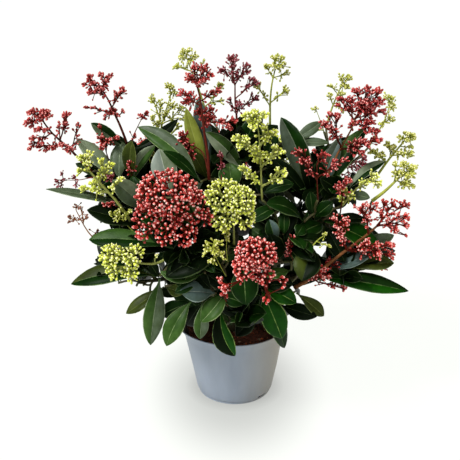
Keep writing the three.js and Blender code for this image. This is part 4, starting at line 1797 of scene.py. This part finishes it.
TIP = None  # where a fan leaves the stalk that starts at its tip
HEADS = (
    Head("red_left_high", WINE, ((92, 171), (79, 159), (71, 150), (56, 137), (49, 130), (41, 118)),
         -12, -10, (
        ((44, 122), (26, 40, 107, 118), (38, 54, 108, 119), (44, 54, 113, 122)),
        ((41, 119), (23, 34, 117, 129), (29, 35, 123, 131)),
        ((50, 131), (33, 44, 126, 134), (42, 52, 127, 133)),
        ((60, 142), (60, 73, 111, 122), (62, 70, 120, 130)), ((60, 142), (57, 63, 121, 130)),
        ((70, 150), (74, 81, 121, 130), (75, 85, 138, 148)),
        ((52, 134), (29, 38, 135, 144), (27, 36, 143, 153)),
        ((64, 145), (36, 46, 141, 151), (43, 53, 145, 154), (50, 62, 143, 150)),
        ((72, 151), (57, 68, 141, 149), (64, 76, 144, 153))), 1.7, 2.7),
    Head("red_left_top", WINE, ((128, 146), (120, 125), (115, 115), (110, 103), (106, 96), (100, 86)),
         20, 20, (
        ((101, 89), (85, 95, 73, 84), (81, 88, 82, 87), (89, 98, 80, 87)),
        ((102, 90), (97, 105, 71, 80), (104, 115, 73, 84), (101, 110, 82, 92)),
        ((105, 96), (86, 96, 90, 97), (93, 103, 85, 96)),
        ((112, 108), (117, 127, 86, 98), (113, 119, 91, 99)),
        ((114, 114), (83, 90, 105, 110), (90, 98, 105, 111)),
        ((115, 116), (107, 119, 107, 119), (103, 108, 113, 122)),
        ((116, 118), (121, 125, 108, 116))), 1.6, 2.6),
    Head("red_top", WINE, ((209, 180), (208, 154), (204.5, 136), (202, 112), (199.5, 93), (197, 86)),
         -34, -66, (
        (TIP, (190, 201, 62, 76), (199, 211, 63, 78), (183, 195, 72, 86), (206, 216, 71, 81),
            (195, 209, 76, 90)),
        ((201, 107), (176, 187, 88, 100), (181, 195, 97, 109), (186, 196, 90, 98)),
        ((201, 110), (208, 216, 88, 98), (213, 223, 86, 100)),
        ((203, 126), (194, 206, 106, 120), (204, 217, 104, 118), (200, 212, 117, 130),
            (208, 218, 113, 124)),
        ((204, 130), (222, 233, 122, 133), (228, 239, 116, 127), (219, 226, 117, 126))), 1.7, 2.55, 1.12),
    Head("red_low_top", WINE, ((208, 172), (204, 152), (194, 146)), -22, -45, (
        (TIP, (177, 190, 130, 141), (174, 186, 139, 149), (183, 193, 143, 153)),
        ((197, 149), (175, 185, 153, 163), (184, 194, 156, 168))), 1.0, 2.3, 1.1),
    Head("dark_low_top", MAROON, ((222, 186), (221, 172)), -34, -45, (
        (TIP, (216, 224, 151, 162), (218, 227, 161, 173)),), 0.8, 2.2, 1.2),
    Head("red_back_top", MAROON, ((237, 140), (237, 118), (235, 103), (235, 85)), 50, 50, (
        (TIP, (225, 240, 54, 67), (217, 228, 65, 78), (228, 238, 64, 72)),
        (TIP, (240, 251, 62, 73), (243, 252, 68, 77), (233, 240, 70, 80)),
        ((236, 100), (247, 257, 75, 85), (252, 261, 80, 88)),
        ((237, 112), (249, 254, 91, 101), (253, 260, 95, 105)),
        ((237, 118), (226, 233, 95, 105), (234, 245, 99, 112))), 1.6, 2.3),
    Head("red_right_top", WINE, ((320, 202), (329, 171), (339.5, 150), (348.5, 135), (353, 126), (355, 119)),
         0, 0, (
        (TIP, (351, 364, 87, 98), (362, 373, 85, 98), (372, 383, 87, 99), (356, 371, 97, 110),
            (368, 386, 97, 109)),
        ((354, 122), (333, 345, 95, 104), (343, 355, 96, 107), (334, 343, 103, 110), (345, 354, 105, 113)),
        ((354, 124), (364, 378, 108, 118), (363, 376, 117, 128), (365, 380, 127, 138)),
        ((355, 120), (378, 387, 107, 118)),
        ((341, 147), (318, 329, 119, 131), (326, 334, 111, 121), (333, 342, 112, 122),
            (324, 336, 124, 133)),
        ((352, 128), (348, 357, 119, 130)),
        ((339, 150), (354, 366, 137, 147), (361, 371, 140, 152), (370, 384, 136, 145),
            (356, 366, 148, 158))), 1.7, 2.7, 0.95, stalk_bloom=FADED),
    Head("red_right_inner", WINE, ((318, 200), (317, 182), (317, 165)), -80, -78, (
        ((318, 180), (290, 300, 148, 158), (297, 307, 147, 156), (296, 306, 157, 168),
            (303, 314, 156, 168)),
        (TIP, (311, 318, 147, 155), (318, 329, 149, 160), (319, 329, 157, 167)),
        ((318, 178), (329, 341, 157, 170), (338, 350, 156, 166), (328, 338, 164, 173))), 0.8, 2.3, 1.3),
    Head("red_right", RED, ((294, 288), (309, 280), (334.5, 259), (352.5, 245.5), (369, 233.5), (377, 226)),
         -60, -60, (
        ((366, 234), (352, 363, 204, 216), (360, 372, 201, 213), (370, 380, 200, 210),
            (364, 371, 212, 222)),
        (TIP, (379, 389, 198, 210), (388, 398, 198, 212), (397, 411, 200, 211), (376, 384, 209, 219)),
        (TIP, (401, 411, 211, 222), (401, 411, 221, 232), (391, 402, 211, 219), (390, 400, 226, 237),
            (384, 392, 215, 225)),
        ((385, 229), (403, 408, 233, 239)),
        ((347, 252), (360, 372, 236, 249), (370, 382, 240, 251), (380, 397, 241, 250),
            (370, 384, 249, 261)),
        ((347, 252), (382, 396, 250, 261), (375, 390, 260, 271), (366, 377, 256, 266)),
        ((346, 250), (329, 340, 213, 226), (338, 352, 215, 226), (331, 342, 224, 232),
            (334, 346, 230, 244)),
        ((326, 266), (325, 334, 256, 266), (331, 342, 260, 270)),
        ((306, 280), (318, 329, 265, 275), (307, 318, 268, 279), (317, 331, 272, 281)),
        ((309, 280), (328, 336, 282, 290), (338, 347, 283, 294))), 2.5, 2.8, 1.14, stalk_bloom=FADED),
    Head("red_front_left", RED, ((190, 246), (184, 228), (178, 216)), -135, -92, (
        (TIP, (134, 199, 168, 218)),
        (TIP, (131, 158, 200, 244), (152, 178, 208, 248), (172, 199, 212, 250)),
        (TIP, (183, 208, 186, 212),
            (192, 216, 205, 229))), 2.0, 3.4, 1.18, dome=True, gaps=(1.06, 1.34, 1.3)),
    Head("red_front_right", RED, ((270, 300), (264, 284), (258, 272)), -155, -105, (
        (TIP, (233, 279, 236, 272), (231, 258, 252, 284)), (TIP, (250, 278, 264, 288)),
        (TIP, (218, 231, 278, 300)),
        (TIP, (259, 272, 292, 307),
            (277, 290, 273, 292))), 1.8, 3.3, 1.1, dome=True, gaps=(1.05, 1.35, 1.7, 1.6)),
    Head("red_inner_right", WINE, ((300, 272), (294, 262), (291, 255)), -100, -80, (
        (TIP, (285, 298, 233, 242), (283, 293, 241, 251)),
        ((293, 259), (281, 291, 250, 256))), 0.7, 2.2, 1.5),
    Head("green_left", GREEN, ((130, 220), (116, 200), (110, 194), (93, 175), (84, 165)), -60, -60, (
        (TIP, (76, 86, 152, 163), (84, 96, 150, 162), (82, 94, 158, 168)),
        ((98, 182), (96, 106, 157, 167), (104, 116, 161, 173), (98, 108, 166, 174)),
        ((90, 172), (75, 83, 166, 176)), ((104, 189), (93, 106, 174, 184), (88, 97, 180, 188)),
        ((112, 196), (115, 126, 176, 184), (108, 117, 183, 192)),
        ((108, 193), (79, 89, 184, 194), (89, 98, 186, 194))), 1.9, 2.7, 1.05),
    Head("maroon_left", MAROON, ((120, 196), (112, 182)), -62, -60, (
        (TIP, (105, 116, 172, 183)),), 0.8, 2.4, 1.2),
    Head("green_back_left", LIME, ((160, 160), (160, 138), (163, 118), (170, 98)), 75, 72, (
        (TIP, (163, 176, 82, 94), (171, 178, 88, 99)),
        ((161, 128), (156, 166, 99, 110), (147, 158, 94, 106)),
        ((164, 122), (165, 178, 100, 112), (160, 169, 110, 120)),
        ((160, 140), (148, 157, 114, 124), (154, 164, 118, 130)), ((160, 145), (174, 182, 122, 131)),
        ((165, 124), (176, 186, 104, 114), (180, 188, 114, 124))), 1.2, 2.4, 1.2),
    Head("green_back_top", LIME, ((206, 112), (200, 92), (193, 74), (188, 62)), 60, 60, (
        (TIP, (179, 188, 48, 57), (186, 194, 47, 56), (177, 184, 54, 62), (190, 200, 52, 63),
            (186, 193, 60, 68)),
        ((191, 72), (172, 183, 62, 73)), ((194, 76), (200, 206, 59, 67)),
        ((205, 108), (215, 225, 81, 92), (217, 225, 97, 106))), 1.2, 2.4, 1.1),
    Head("green_small_left", LIME, ((156, 176), (150, 162)), 20, 10, (
        (TIP, (141, 150, 141, 150), (148, 156, 150, 160)),), 0.9, 2.3, 1.2),
    Head("green_back_right", LIME, ((270, 128), (270, 100), (272, 82), (275, 70)), 60, 60, (
        (TIP, (269, 278, 54, 63), (276, 286, 54, 63), (279, 288, 60, 68), (268, 279, 62, 73)),
        ((273, 78), (262, 270, 62, 72)), ((273, 78), (282, 291, 69, 78)), ((270, 104), (281, 290, 85, 100)),
        ((270, 106), (253, 263, 82, 93))), 1.5, 2.5, 1.1),
    Head("green_front_top", GREEN, ((262, 200), (261, 169), (260, 154), (259.5, 136), (257, 124)),
         -88, -82, (
        (TIP, (240, 253, 110, 124), (250, 262, 108, 122), (259, 271, 110, 124), (246, 260, 122, 134)),
        ((260, 146), (259, 270, 122, 134), (268, 281, 128, 141), (262, 272, 134, 143)),
        ((260, 156), (231, 242, 133, 146), (240, 251, 134, 148), (234, 246, 143, 151)),
        ((260, 164), (249, 260, 144, 158), (258, 271, 150, 164), (251, 262, 156, 165)),
        ((262, 169), (270, 279, 143, 152), (277, 286, 147, 159)),
        ((262, 186), (237, 248, 163, 172), (243, 254, 168, 180), (250, 259, 172, 182)),
        ((262, 190), (273, 281, 165, 174), (281, 288, 168, 180), (273, 284, 179, 186))), 1.1, 2.55, 1.1),
    Head("green_front", GREEN, ((234, 250), (234, 226), (232, 210)), -130, -90, (
        (TIP, (203, 246, 177, 215), (224, 258, 183, 218)),
        (TIP, (208, 236, 206, 234), (230, 258, 204, 232))), 1.3, 2.85, 1.24, dome=True, gaps=(1.0, 1.08)),
    Head("green_front_left", GREEN, ((171, 255), (158, 264), (146, 264), (132, 262)), -118, -88, (
        (TIP, (98, 126, 242, 270), (118, 147, 243, 268)), (TIP, (104, 124, 260, 283), (120, 142, 262, 284)),
        ((160, 263), (153, 161, 252, 260))), 1.6, 2.9, 1.15, dome=True, gaps=(1.0, 1.15, 1.0)),
    Head("green_right_back", LIME, ((326, 128), (329, 117), (333.5, 103.5), (340, 89)), 65, 60, (
        (TIP, (336, 346, 73, 85), (344, 354, 73, 84), (340, 351, 82, 92)), ((338, 94), (325, 335, 83, 91)),
        ((333, 105), (325, 334, 92, 101)),
        ((333, 104), (336, 347, 90, 99), (338, 346, 108, 115))), 1.4, 2.4, 1.2),
    Head("green_right_far", LIME, ((368, 148), (378, 132), (384, 122), (389, 108)), 55, 50, (
        (TIP, (382, 390, 92, 102), (388, 396, 94, 104), (387, 397, 103, 114)),
        ((383, 124), (384, 394, 113, 121), (390, 397, 117, 124), (377, 385, 121, 131))), 1.2, 2.4, 1.2),
    Head("green_right_high", LIME, ((374, 180), (381, 170), (389, 159), (398, 148.5), (405, 140)), 10, 10, (
        (TIP, (402, 411, 130, 139), (409, 417, 131, 142), (396, 403, 135, 143), (403, 412, 137, 145)),
        ((400, 147), (406, 415, 144, 150)), ((392, 156), (395, 406, 149, 158), (405, 415, 149, 158)),
        ((390, 158), (383, 392, 141, 152), (389, 397, 143, 154)),
        ((386, 163), (367, 380, 148, 158), (376, 384, 152, 161))), 1.8, 2.7, 0.96),
    Head("green_right", LIME, ((372, 201), (386, 190.5), (395, 181.5), (401, 176)), -22, -22, (
        (TIP, (398, 408, 160, 171), (406, 418, 163, 173), (402, 417, 171, 180)),
        ((393, 182), (391, 399, 160, 170), (396, 404, 168, 178)),
        ((396, 181), (399, 412, 179, 190), (409, 416, 183, 190))), 2.3, 2.7, 0.9),
    Head("green_right_inner", GREEN, ((342, 206), (350, 196), (358, 187), (367, 180)), -50, -50, (
        (TIP, (369, 380, 170, 180), (366, 383, 177, 190)), ((356, 190), (357, 369, 178, 189)),
        ((348, 199), (338, 347, 184, 194), (345, 356, 190, 203)),
        ((346, 201), (336, 344, 193, 203))), 1.2, 2.5, 1.25),
    # Small sprays among the leaves
    Head("spray_left", WINE, ((112, 168), (108, 158), (105, 148)), 0, -5, (
        (TIP, (97, 106, 133, 143), (104, 114, 135, 148), (98, 108, 142, 152)),
        ((108, 158), (89, 97, 143, 151)), ((107, 152), (97, 103, 123, 131), (113, 120, 135, 142)),
        ((112, 166), (76, 84, 140, 147))), 1.0, 2.8),
    Head("spray_far_left", MAROON, ((108, 174), (91, 177.5), (78, 180.5), (67, 180)), -10, -30, (
        (TIP, (59, 66, 170, 177), (54, 59, 178, 184), (56, 63, 184, 190)), ((80, 180), (71, 78, 174, 179)),
        ((80, 180), (73, 79, 182, 189))), 0.7, 2.1, 1.3),
    Head("spray_low_left", FADED, ((106, 250), (91, 236), (84, 226), (76, 210)), -40, -60, (
        (TIP, (72, 80, 203, 212)), ((81, 222), (67, 73, 213, 220), (66, 72, 220, 225)),
        ((84, 226), (78, 84, 205, 212), (84, 90, 214, 222)),
        ((94, 239), (95, 100, 229, 233))), 0.9, 2.1, 1.2),
    Head("spray_dark_left", WINE, ((138, 196), (132, 178)), -30, -40, (
        (TIP, (124, 133, 161, 169), (129, 137, 159, 167), (129, 136, 167, 175)),), 0.8, 2.5),
    Head("spray_high_left", WINE, ((133, 150), (132, 138), (141, 120)), 10, 10, (
        (TIP, (137, 144, 112, 122), (142, 150, 109, 119)),
        ((133, 140), (132, 137, 133, 139))), 0.8, 2.2, 1.1),
    Head("spray_mid_left", WINE, ((122, 226), (112, 210)), -55, -60, (
        (TIP, (102, 110, 201, 209), (109, 117, 199, 207)),), 0.8, 2.4),
    Head("spray_dark_right", WINE, ((340, 214), (343, 196)), -60, -50, (
        (TIP, (341, 352, 176, 187), (333, 345, 183, 194)),), 0.9, 2.6),
    Head("spray_green_left", LIME, ((138, 236), (124, 222)), -62, -60, (
        (TIP, (107, 118, 209, 219), (116, 126, 207, 217), (112, 124, 216, 226),
            (126, 134, 208, 216)),), 0.9, 2.4, 1.25),
    Head("spray_green_low", LIME, ((226, 276), (218, 262), (214, 252)), -142, -112, (
        (TIP, (203, 212, 240, 249), (202, 210, 247, 256), (212, 224, 238, 248), (210, 219, 248, 258)),
        ((217, 260), (208, 217, 256, 266), (218, 226, 250, 260))), 0.5, 2.5, 1.4),
    Head("spray_green_mid", LIME, ((228, 262), (226, 250), (227, 240)), -120, -112, (
        (TIP, (222, 229, 226, 236), (223, 231, 235, 246)),), 0.5, 2.3, 1.4),
    Head("spray_red_low", RED, ((228, 306), (224, 296)), -140, -100, (
        (TIP, (216, 224, 276, 286), (221, 230, 284, 297)),), 0.8, 2.8),
    Head("spray_green_high", LIME, ((324, 132), (320, 120), (317, 112)), 40, 40, (
        (TIP, (312, 320, 105, 113)),
        ((324, 132), (301, 309, 128, 138), (307, 313, 125, 133))), 0.7, 2.3, 1.2),
    Head("twigs_right", LIME, ((309, 252), (316, 241), (325, 235)), -96, -94, ((TIP, (322, 328, 232, 238)),
        ((316, 242), (326, 332, 243, 249))), 0.9, 1.8, 1.4),
)


@dataclass(frozen=True)
class Stoutness:
    """The radii of a head's finest parts, in mm."""

    pedicel_foot: float
    pedicel_top: float
    branch: float  # of a branch that feeds one cyme
    reach: float  # from the foot of a cyme to its buds
    slimness: float  # how long a bud is for its width, of the usual


STOUTNESS = {
    RED: Stoutness(0.42, 0.46, 0.66, 5.2, 1.05),
    WINE: Stoutness(0.38, 0.46, 0.55, 5.8, 1.3),
    MAROON: Stoutness(0.36, 0.4, 0.5, 5.4, 1.25),
    LIME: Stoutness(0.38, 0.48, 0.55, 5.4, 1.25),
    FADED: Stoutness(0.36, 0.34, 0.5, 4.6, 1.1),
    GREEN: Stoutness(0.55, 0.75, 0.85, 5.8, 1.15),
}


HIDDEN_HEADS = {
    "buds_red_back_left": RED,
    "buds_red_back": RED,
    "buds_red_back_right": MAROON,
    "buds_green_back_low_left": GREEN,
    "buds_green_back": GREEN,
}


@dataclass
class Panicles:
    """All heads of one colour: stalks that fork on and on, with a cyme of buds on every last branch."""

    colour: str  # red or green, as the CAD nodes are named
    blooms: tuple[Bloom, ...]  # those that count as that colour
    seed: int = 23
    spacing: float = 4.2  # mm between neighbouring buds
    cyme: int = 5  # buds that one cyme may have
    fork_bud: float = 0.6  # how often a fork bears a bud of its own
    stray_share: float = 0.35  # buds that stand lower than their fan, of the fan's
    stray_off: float = 2.6  # how far they stand off the way to it
    hidden_bud: float = 2.7  # width of a bud of a hidden head
    hidden_girth: float = 1.6  # radius of its stalk
    hidden_stalk: float = 22.0  # how far that shows below it
    deepness: float = 0.4  # how far before and behind a spray's stalk its fans lie, of the spray's width
    layers: float = 0.9  # how far one of the two layers of a span lies behind the other, of its size
    spread: float = 1.14  # how much wider a spray's clusters grow than their spans
    airiness: float = 1.24  # how much farther apart a spray's buds are than those of a dome
    thickening: float = 0.27  # a branch that feeds n cymes is n to this power thicker
    rod: Rod = field(default_factory=lambda: Rod(9, 8))
    twig: Rod = field(default_factory=lambda: Rod(4, 5))
    pedicel: Rod = field(default_factory=lambda: Rod(2, 4))

    def __post_init__(self) -> None:
        """Readies the random draws and the lists that the heads add to."""
        self.buds, self.stalks, self.branches, self.pedicels, self.feet = [], [], [], [], []
        self.draw = np.random.default_rng(self.seed + self.blooms[0].value)

    def start_head(self, bloom: Bloom, width: float) -> None:
        """Sets the colour and the width of the buds that are added next."""
        self.bloom, self.width, self.stout = bloom, width, STOUTNESS[bloom]

    def places(self, middle: Array, axis: Array, size: Array, openness: float) -> Array:
        """Spreads buds over one rounded cluster.

        Args:
            middle: the cluster's middle.
            axis: the way it faces.
            size: its half width, half depth and half height.
            openness: how much farther apart than usual they are.

        Returns:
            The places of the buds, one in each row.
        """
        draw = self.draw
        mean = float(np.cbrt(np.prod(size)))
        sizes = (7, 16)  # mm between which a cluster passes from a loose tuft to a dome
        lowest, loose, inner = (
            float(np.interp(mean, sizes, ends)) for ends in ((0, -0.4), (0.3, 0.06), (0.3, 0.84))
        )
        room = (self.spacing * openness) ** 2
        count = max(4, round(2 * math.pi * mean**2 * (1 - lowest) / room))
        even = cap_directions(count, axis, lowest, draw.uniform(0, 6))
        out = unit(even + draw.normal(0, loose, (count, 3)))
        return middle + out * np.maximum(size - self.width / 2, 2) * draw.uniform(inner, 1.04, (count, 1))

    def bud(self, start: Array, place: Array, usual: int) -> None:
        """Adds a bud at the end of its own pedicel.

        Args:
            start: where the pedicel starts.
            place: the bud's middle.
            usual: the shade that its cyme mostly has.
        """
        draw = self.draw
        pointing = unit(place - start)
        width = self.width * draw.uniform(0.7, 1.14)
        shade = usual if draw.random() < 0.5 else draw.integers(len(BUD_FINISHES[self.bloom]))
        self.buds.append((place, pointing, width, self.bloom, shade))
        ends = np.array([start, place - pointing * width * 0.55])
        radii = np.array([self.stout.pedicel_foot, self.stout.pedicel_top])
        self.pedicels.append((ends, radii, self.bloom))

    def branch(self, start: Array, heading: Array, end: Array, feeds: int) -> Array:
        """Adds one branch.

        Args:
            start: where it starts.
            heading: the way it sets out.
            end: where it ends.
            feeds: how many buds it feeds.

        Returns:
            The points of its line.
        """
        bend = start + heading * np.linalg.norm(end - start) * 0.45
        line = bezier(start, bend, end, self.twig.rings)
        cymes = np.array([feeds, feeds / 2]) / self.cyme
        thick, thin = self.stout.branch * np.maximum(cymes, 1) ** self.thickening
        self.branches.append((line, np.linspace(thick, thin, self.twig.rings), self.bloom))
        return line

    def grow(self, start: Array, heading: Array, buds: Array) -> None:
        """Grows a branch to its buds, forking in two on the way until one cyme is left.

        Args:
            start: where the branch starts.
            heading: the way it sets out.
            buds: the places of its buds.
        """
        draw, count = self.draw, len(buds)
        middle = buds.mean(0)
        away = float(np.linalg.norm(middle - start))
        usual = draw.integers(len(BUD_FINISHES[self.bloom]))
        if count <= self.cyme:
            end = middle + (start - middle) * min(1.0, self.stout.reach * 0.85 / max(away, 1e-6))
            if away > self.stout.reach:
                self.branch(start, heading, end, count)
            for place in buds:
                self.bud(end, place, usual)
            return
        share = 1.5 / (math.log2(count / self.cyme) + 2.5)
        end = start + (middle - start) * share
        line = self.branch(start, heading, end, count)
        onward = unit(line[-1] - line[-2])
        self.wood.append(line)
        if draw.random() < self.fork_bud:
            aside = unit(onward + draw.normal(0, 0.5, 3))
            self.bud(end, end + aside * self.stout.reach * 0.8, usual)
        for half in parted(buds):
            self.grow(end, onward, half)

    def joint(self, seen: Pixel, depth: float) -> Array:
        """Finds the nearest place on the head so far to where a branch is seen to start."""
        wood = np.vstack(self.wood)
        return wood[np.linalg.norm(wood - VIEW.at(seen, depth), axis=1).argmin()]

    def add_stalk(self, points: Array, girth: float, bloom: Bloom | None = None) -> None:
        """Adds a head's stalk along some points, and lets it bear branches.

        Args:
            points: the points, from its foot up.
            girth: its radius at the foot.
            bloom: whose stalk it has, if not that of the head's buds.
        """
        line = resampled(points, self.rod.rings)
        self.stalks.append((line, np.linspace(girth, girth * 0.5, self.rod.rings), bloom or self.bloom))
        self.feet.append(line[0])
        self.lean = unit(unit(line[-1] - line[-4]) + UP * 0.2)
        self.wood = [resampled(points, 36)[3:]]

    def add_head(self, head: Head) -> None:
        """Adds one of the listed heads.

        Args:
            head: the head.
        """
        self.start_head(head.bloom, head.bud)
        lefts, rights = head.spans[:, 0], head.spans[:, 1]
        heart = head.depth + (0.42 * (rights - lefts).max() if head.dome else 0.0)
        depths = np.linspace(head.foot_depth, heart, len(head.stalk))
        points = np.array([VIEW.at(seen, depth) for seen, depth in zip(head.stalk, depths)])
        self.add_stalk(points, head.girth, head.stalk_bloom)
        across_all, side = rights.max() - lefts.min(), 1
        for (foot, *spans), gap in zip(head.fans, head.gaps or (1.0,) * len(head.fans)):
            side = -side
            off = 0.0 if head.dome else side * self.draw.uniform(0.3, 1) * self.deepness * across_all
            buds = np.vstack([self.span(span, head, off, gap) for span in spans])
            start = self.joint(foot, heart) if foot else self.wood[0][-1]
            if not head.dome:
                buds = np.vstack([buds, self.strays(start, buds)])
            heading = unit(unit(buds.mean(0) - start) + self.lean * 0.5)
            self.grow(start, heading, buds)

    def strays(self, start: Array, buds: Array) -> Array:
        """Places some more buds on short side branches, lower along the way to a fan's buds.

        Args:
            start: where the fan leaves the stalk.
            buds: the places of the fan's buds.

        Returns:
            The places of the new buds.
        """
        draw = self.draw
        count = round(len(buds) * self.stray_share)
        goals = buds[draw.integers(len(buds), size=count)]
        way = draw.uniform(0.35, 0.85, (count, 1))
        return start + (goals - start) * way + draw.normal(0, self.stray_off, (count, 3))

    def span(self, span: Span, head: Head, off: float, gap: float) -> Array:
        """Spreads buds over a span of the picture: one rounded mass, or two, one behind the other.

        Args:
            span: its left, right, top and bottom.
            head: the head that it belongs to.
            off: how far behind the head's own depth it lies.
            gap: how much farther apart its buds are than those of the head.

        Returns:
            The places of the buds.
        """
        left, right, top, bottom = span
        wide, tall = right - left, bottom - top
        shifts = [0.0] if head.dome else [off, off + math.copysign(self.layers, -off) * max(wide, tall)]
        wider, airier = (1.0, 1.0) if head.dome else (self.spread, self.airiness)
        buds = []
        for shift in shifts:
            middle = VIEW.at(((left + right) / 2, (top + bottom) / 2), head.depth + shift)
            size = np.array([wide, (wide + tall) / 2, tall]) / 2 / VIEW.scale(middle) * wider
            outward = middle - (self.wood[0][-1] if head.dome else self.wood[0].mean(0))
            axis = unit(unit(outward) * 0.7 + self.lean * 0.7)
            buds.append(self.places(middle, axis, np.maximum(size, 2.6), head.openness * gap * airier))
        return np.vstack(buds)

    def add_hidden(self, node: str, bloom: Bloom) -> None:
        """Adds a head that the front hides, in the room of its CAD node.

        Args:
            node: the CAD node.
            bloom: the colour of the head's buds.
        """
        self.start_head(bloom, self.hidden_bud)
        corners = corners_of(node)
        low, high = corners.min(0), corners.max(0)
        middle, radius = (low + high) / 2, (high - low) / 2
        outward = unit(np.array([middle[0], middle[1], 0.0]) * 0.8 + UP * 60)
        foot = middle - outward * (radius.mean() + self.hidden_stalk)
        top = middle - outward * radius.mean() / 2
        self.add_stalk(np.array([foot, (foot + middle) / 2, top]), self.hidden_girth)
        self.grow(self.wood[0][-1], outward, self.places(middle, outward, radius, 1.15))

    def bud_piece(self, side: str, nodes: list[str]) -> None:
        """Makes one piece of the buds that were added since the last.

        Args:
            side: the side of the plant that they are on.
            nodes: the CAD nodes that the piece stands for.
        """
        shape = Bud().shape()
        finishes: list[Finish] = []
        starts = {}
        for bloom in self.blooms:
            starts[bloom] = len(finishes)
            finishes += [part for row in BUD_FINISHES[bloom] for part in row]
        places, pointing, widths, kinds, shades = zip(*self.buds)
        self.buds = []
        axis = np.array(pointing)
        one, other = across(axis)
        spin = self.draw.uniform(0, 2 * math.pi, (len(axis), 1))
        first = one * np.cos(spin) + other * np.sin(spin)
        second = other * np.cos(spin) - one * np.sin(spin)
        slim = np.array([(1, 1, STOUTNESS[kind].slimness) for kind in kinds])
        local = shape.corners[None] * np.array(widths)[:, None, None] * slim[:, None]
        corners = (
            np.array(places)[:, None] + local[..., 0:1] * first[:, None]
            + local[..., 1:2] * second[:, None] + local[..., 2:3] * axis[:, None]
        )
        slots = np.array([starts[kind] + 3 * shade for kind, shade in zip(kinds, shades)])
        joined = Joined()
        joined.add(shape, corners, slots[:, None] + np.arange(3))
        name = f"{self.colour}_buds_{side}"
        dressed(name, joined.mesh(name), finishes, nodes)

    def stalk_piece(self) -> None:
        """Makes one piece of the stalks, branches and pedicels."""
        joined = Joined()
        parts = (self.rod, self.stalks), (self.twig, self.branches), (self.pedicel, self.pedicels)
        for rod, rows in parts:
            shape = rod.shape()
            lines, radii, kinds = zip(*rows)
            slots = np.array([[self.blooms.index(kind)] for kind in kinds])
            joined.add(shape, rod.run(shape, np.array(lines), np.array(radii)), slots)
        name = f"{self.colour}_stalks"
        finishes = [STALK_FINISHES[bloom] for bloom in self.blooms]
        nodes = nodes_named(f"stalk_{self.colour}")
        dressed(name, joined.mesh(name), finishes, nodes)

    def build(self) -> None:
        """Makes a piece of buds for the domes and for each side, and one of the stalks."""
        nodes = nodes_named(f"buds_{self.colour}")
        for side in ("front", "left", "right"):
            heads = [head for head in HEADS if head.bloom in self.blooms and head.side == side]
            for head in heads:
                self.add_head(head)
            own = [f"buds_{head.name}" for head in heads]
            self.bud_piece(side, [node for node in nodes if node in own])
        hidden = [node for node, bloom in HIDDEN_HEADS.items() if bloom in self.blooms]
        for node in hidden:
            self.add_hidden(node, HIDDEN_HEADS[node])
        self.bud_piece("back", sorted(hidden))
        self.stalk_piece()


# ---- main


def main() -> None:
    """Builds the studio, then the plant from the pot up."""
    logging.basicConfig(level=logging.INFO, format="%(name)s: %(message)s")
    Studio().build()
    VIEW.camera()
    pot = Pot()
    pot.build()
    Peat().build(pot)
    build_limbs("stems", nodes_named("stem_"))
    build_limbs("boughs", nodes_named("bough_"))
    panicles = Panicles("red", (RED, WINE, MAROON, FADED)), Panicles("green", (GREEN, LIME))
    for heads in panicles:
        heads.build()
    foliage = Foliage()
    foliage.front()
    for node in foliage.masses:
        foliage.fill(node)
    foliage.cover()
    foliage.build()
    limbs = [Limb(node) for node in nodes_named("stem_", "bough_")]
    feet = [foot for heads in panicles for foot in heads.feet]
    Twigs().build(limbs, np.array([*foliage.shoots, *feet]))


if __name__ == "__main__":
    main()
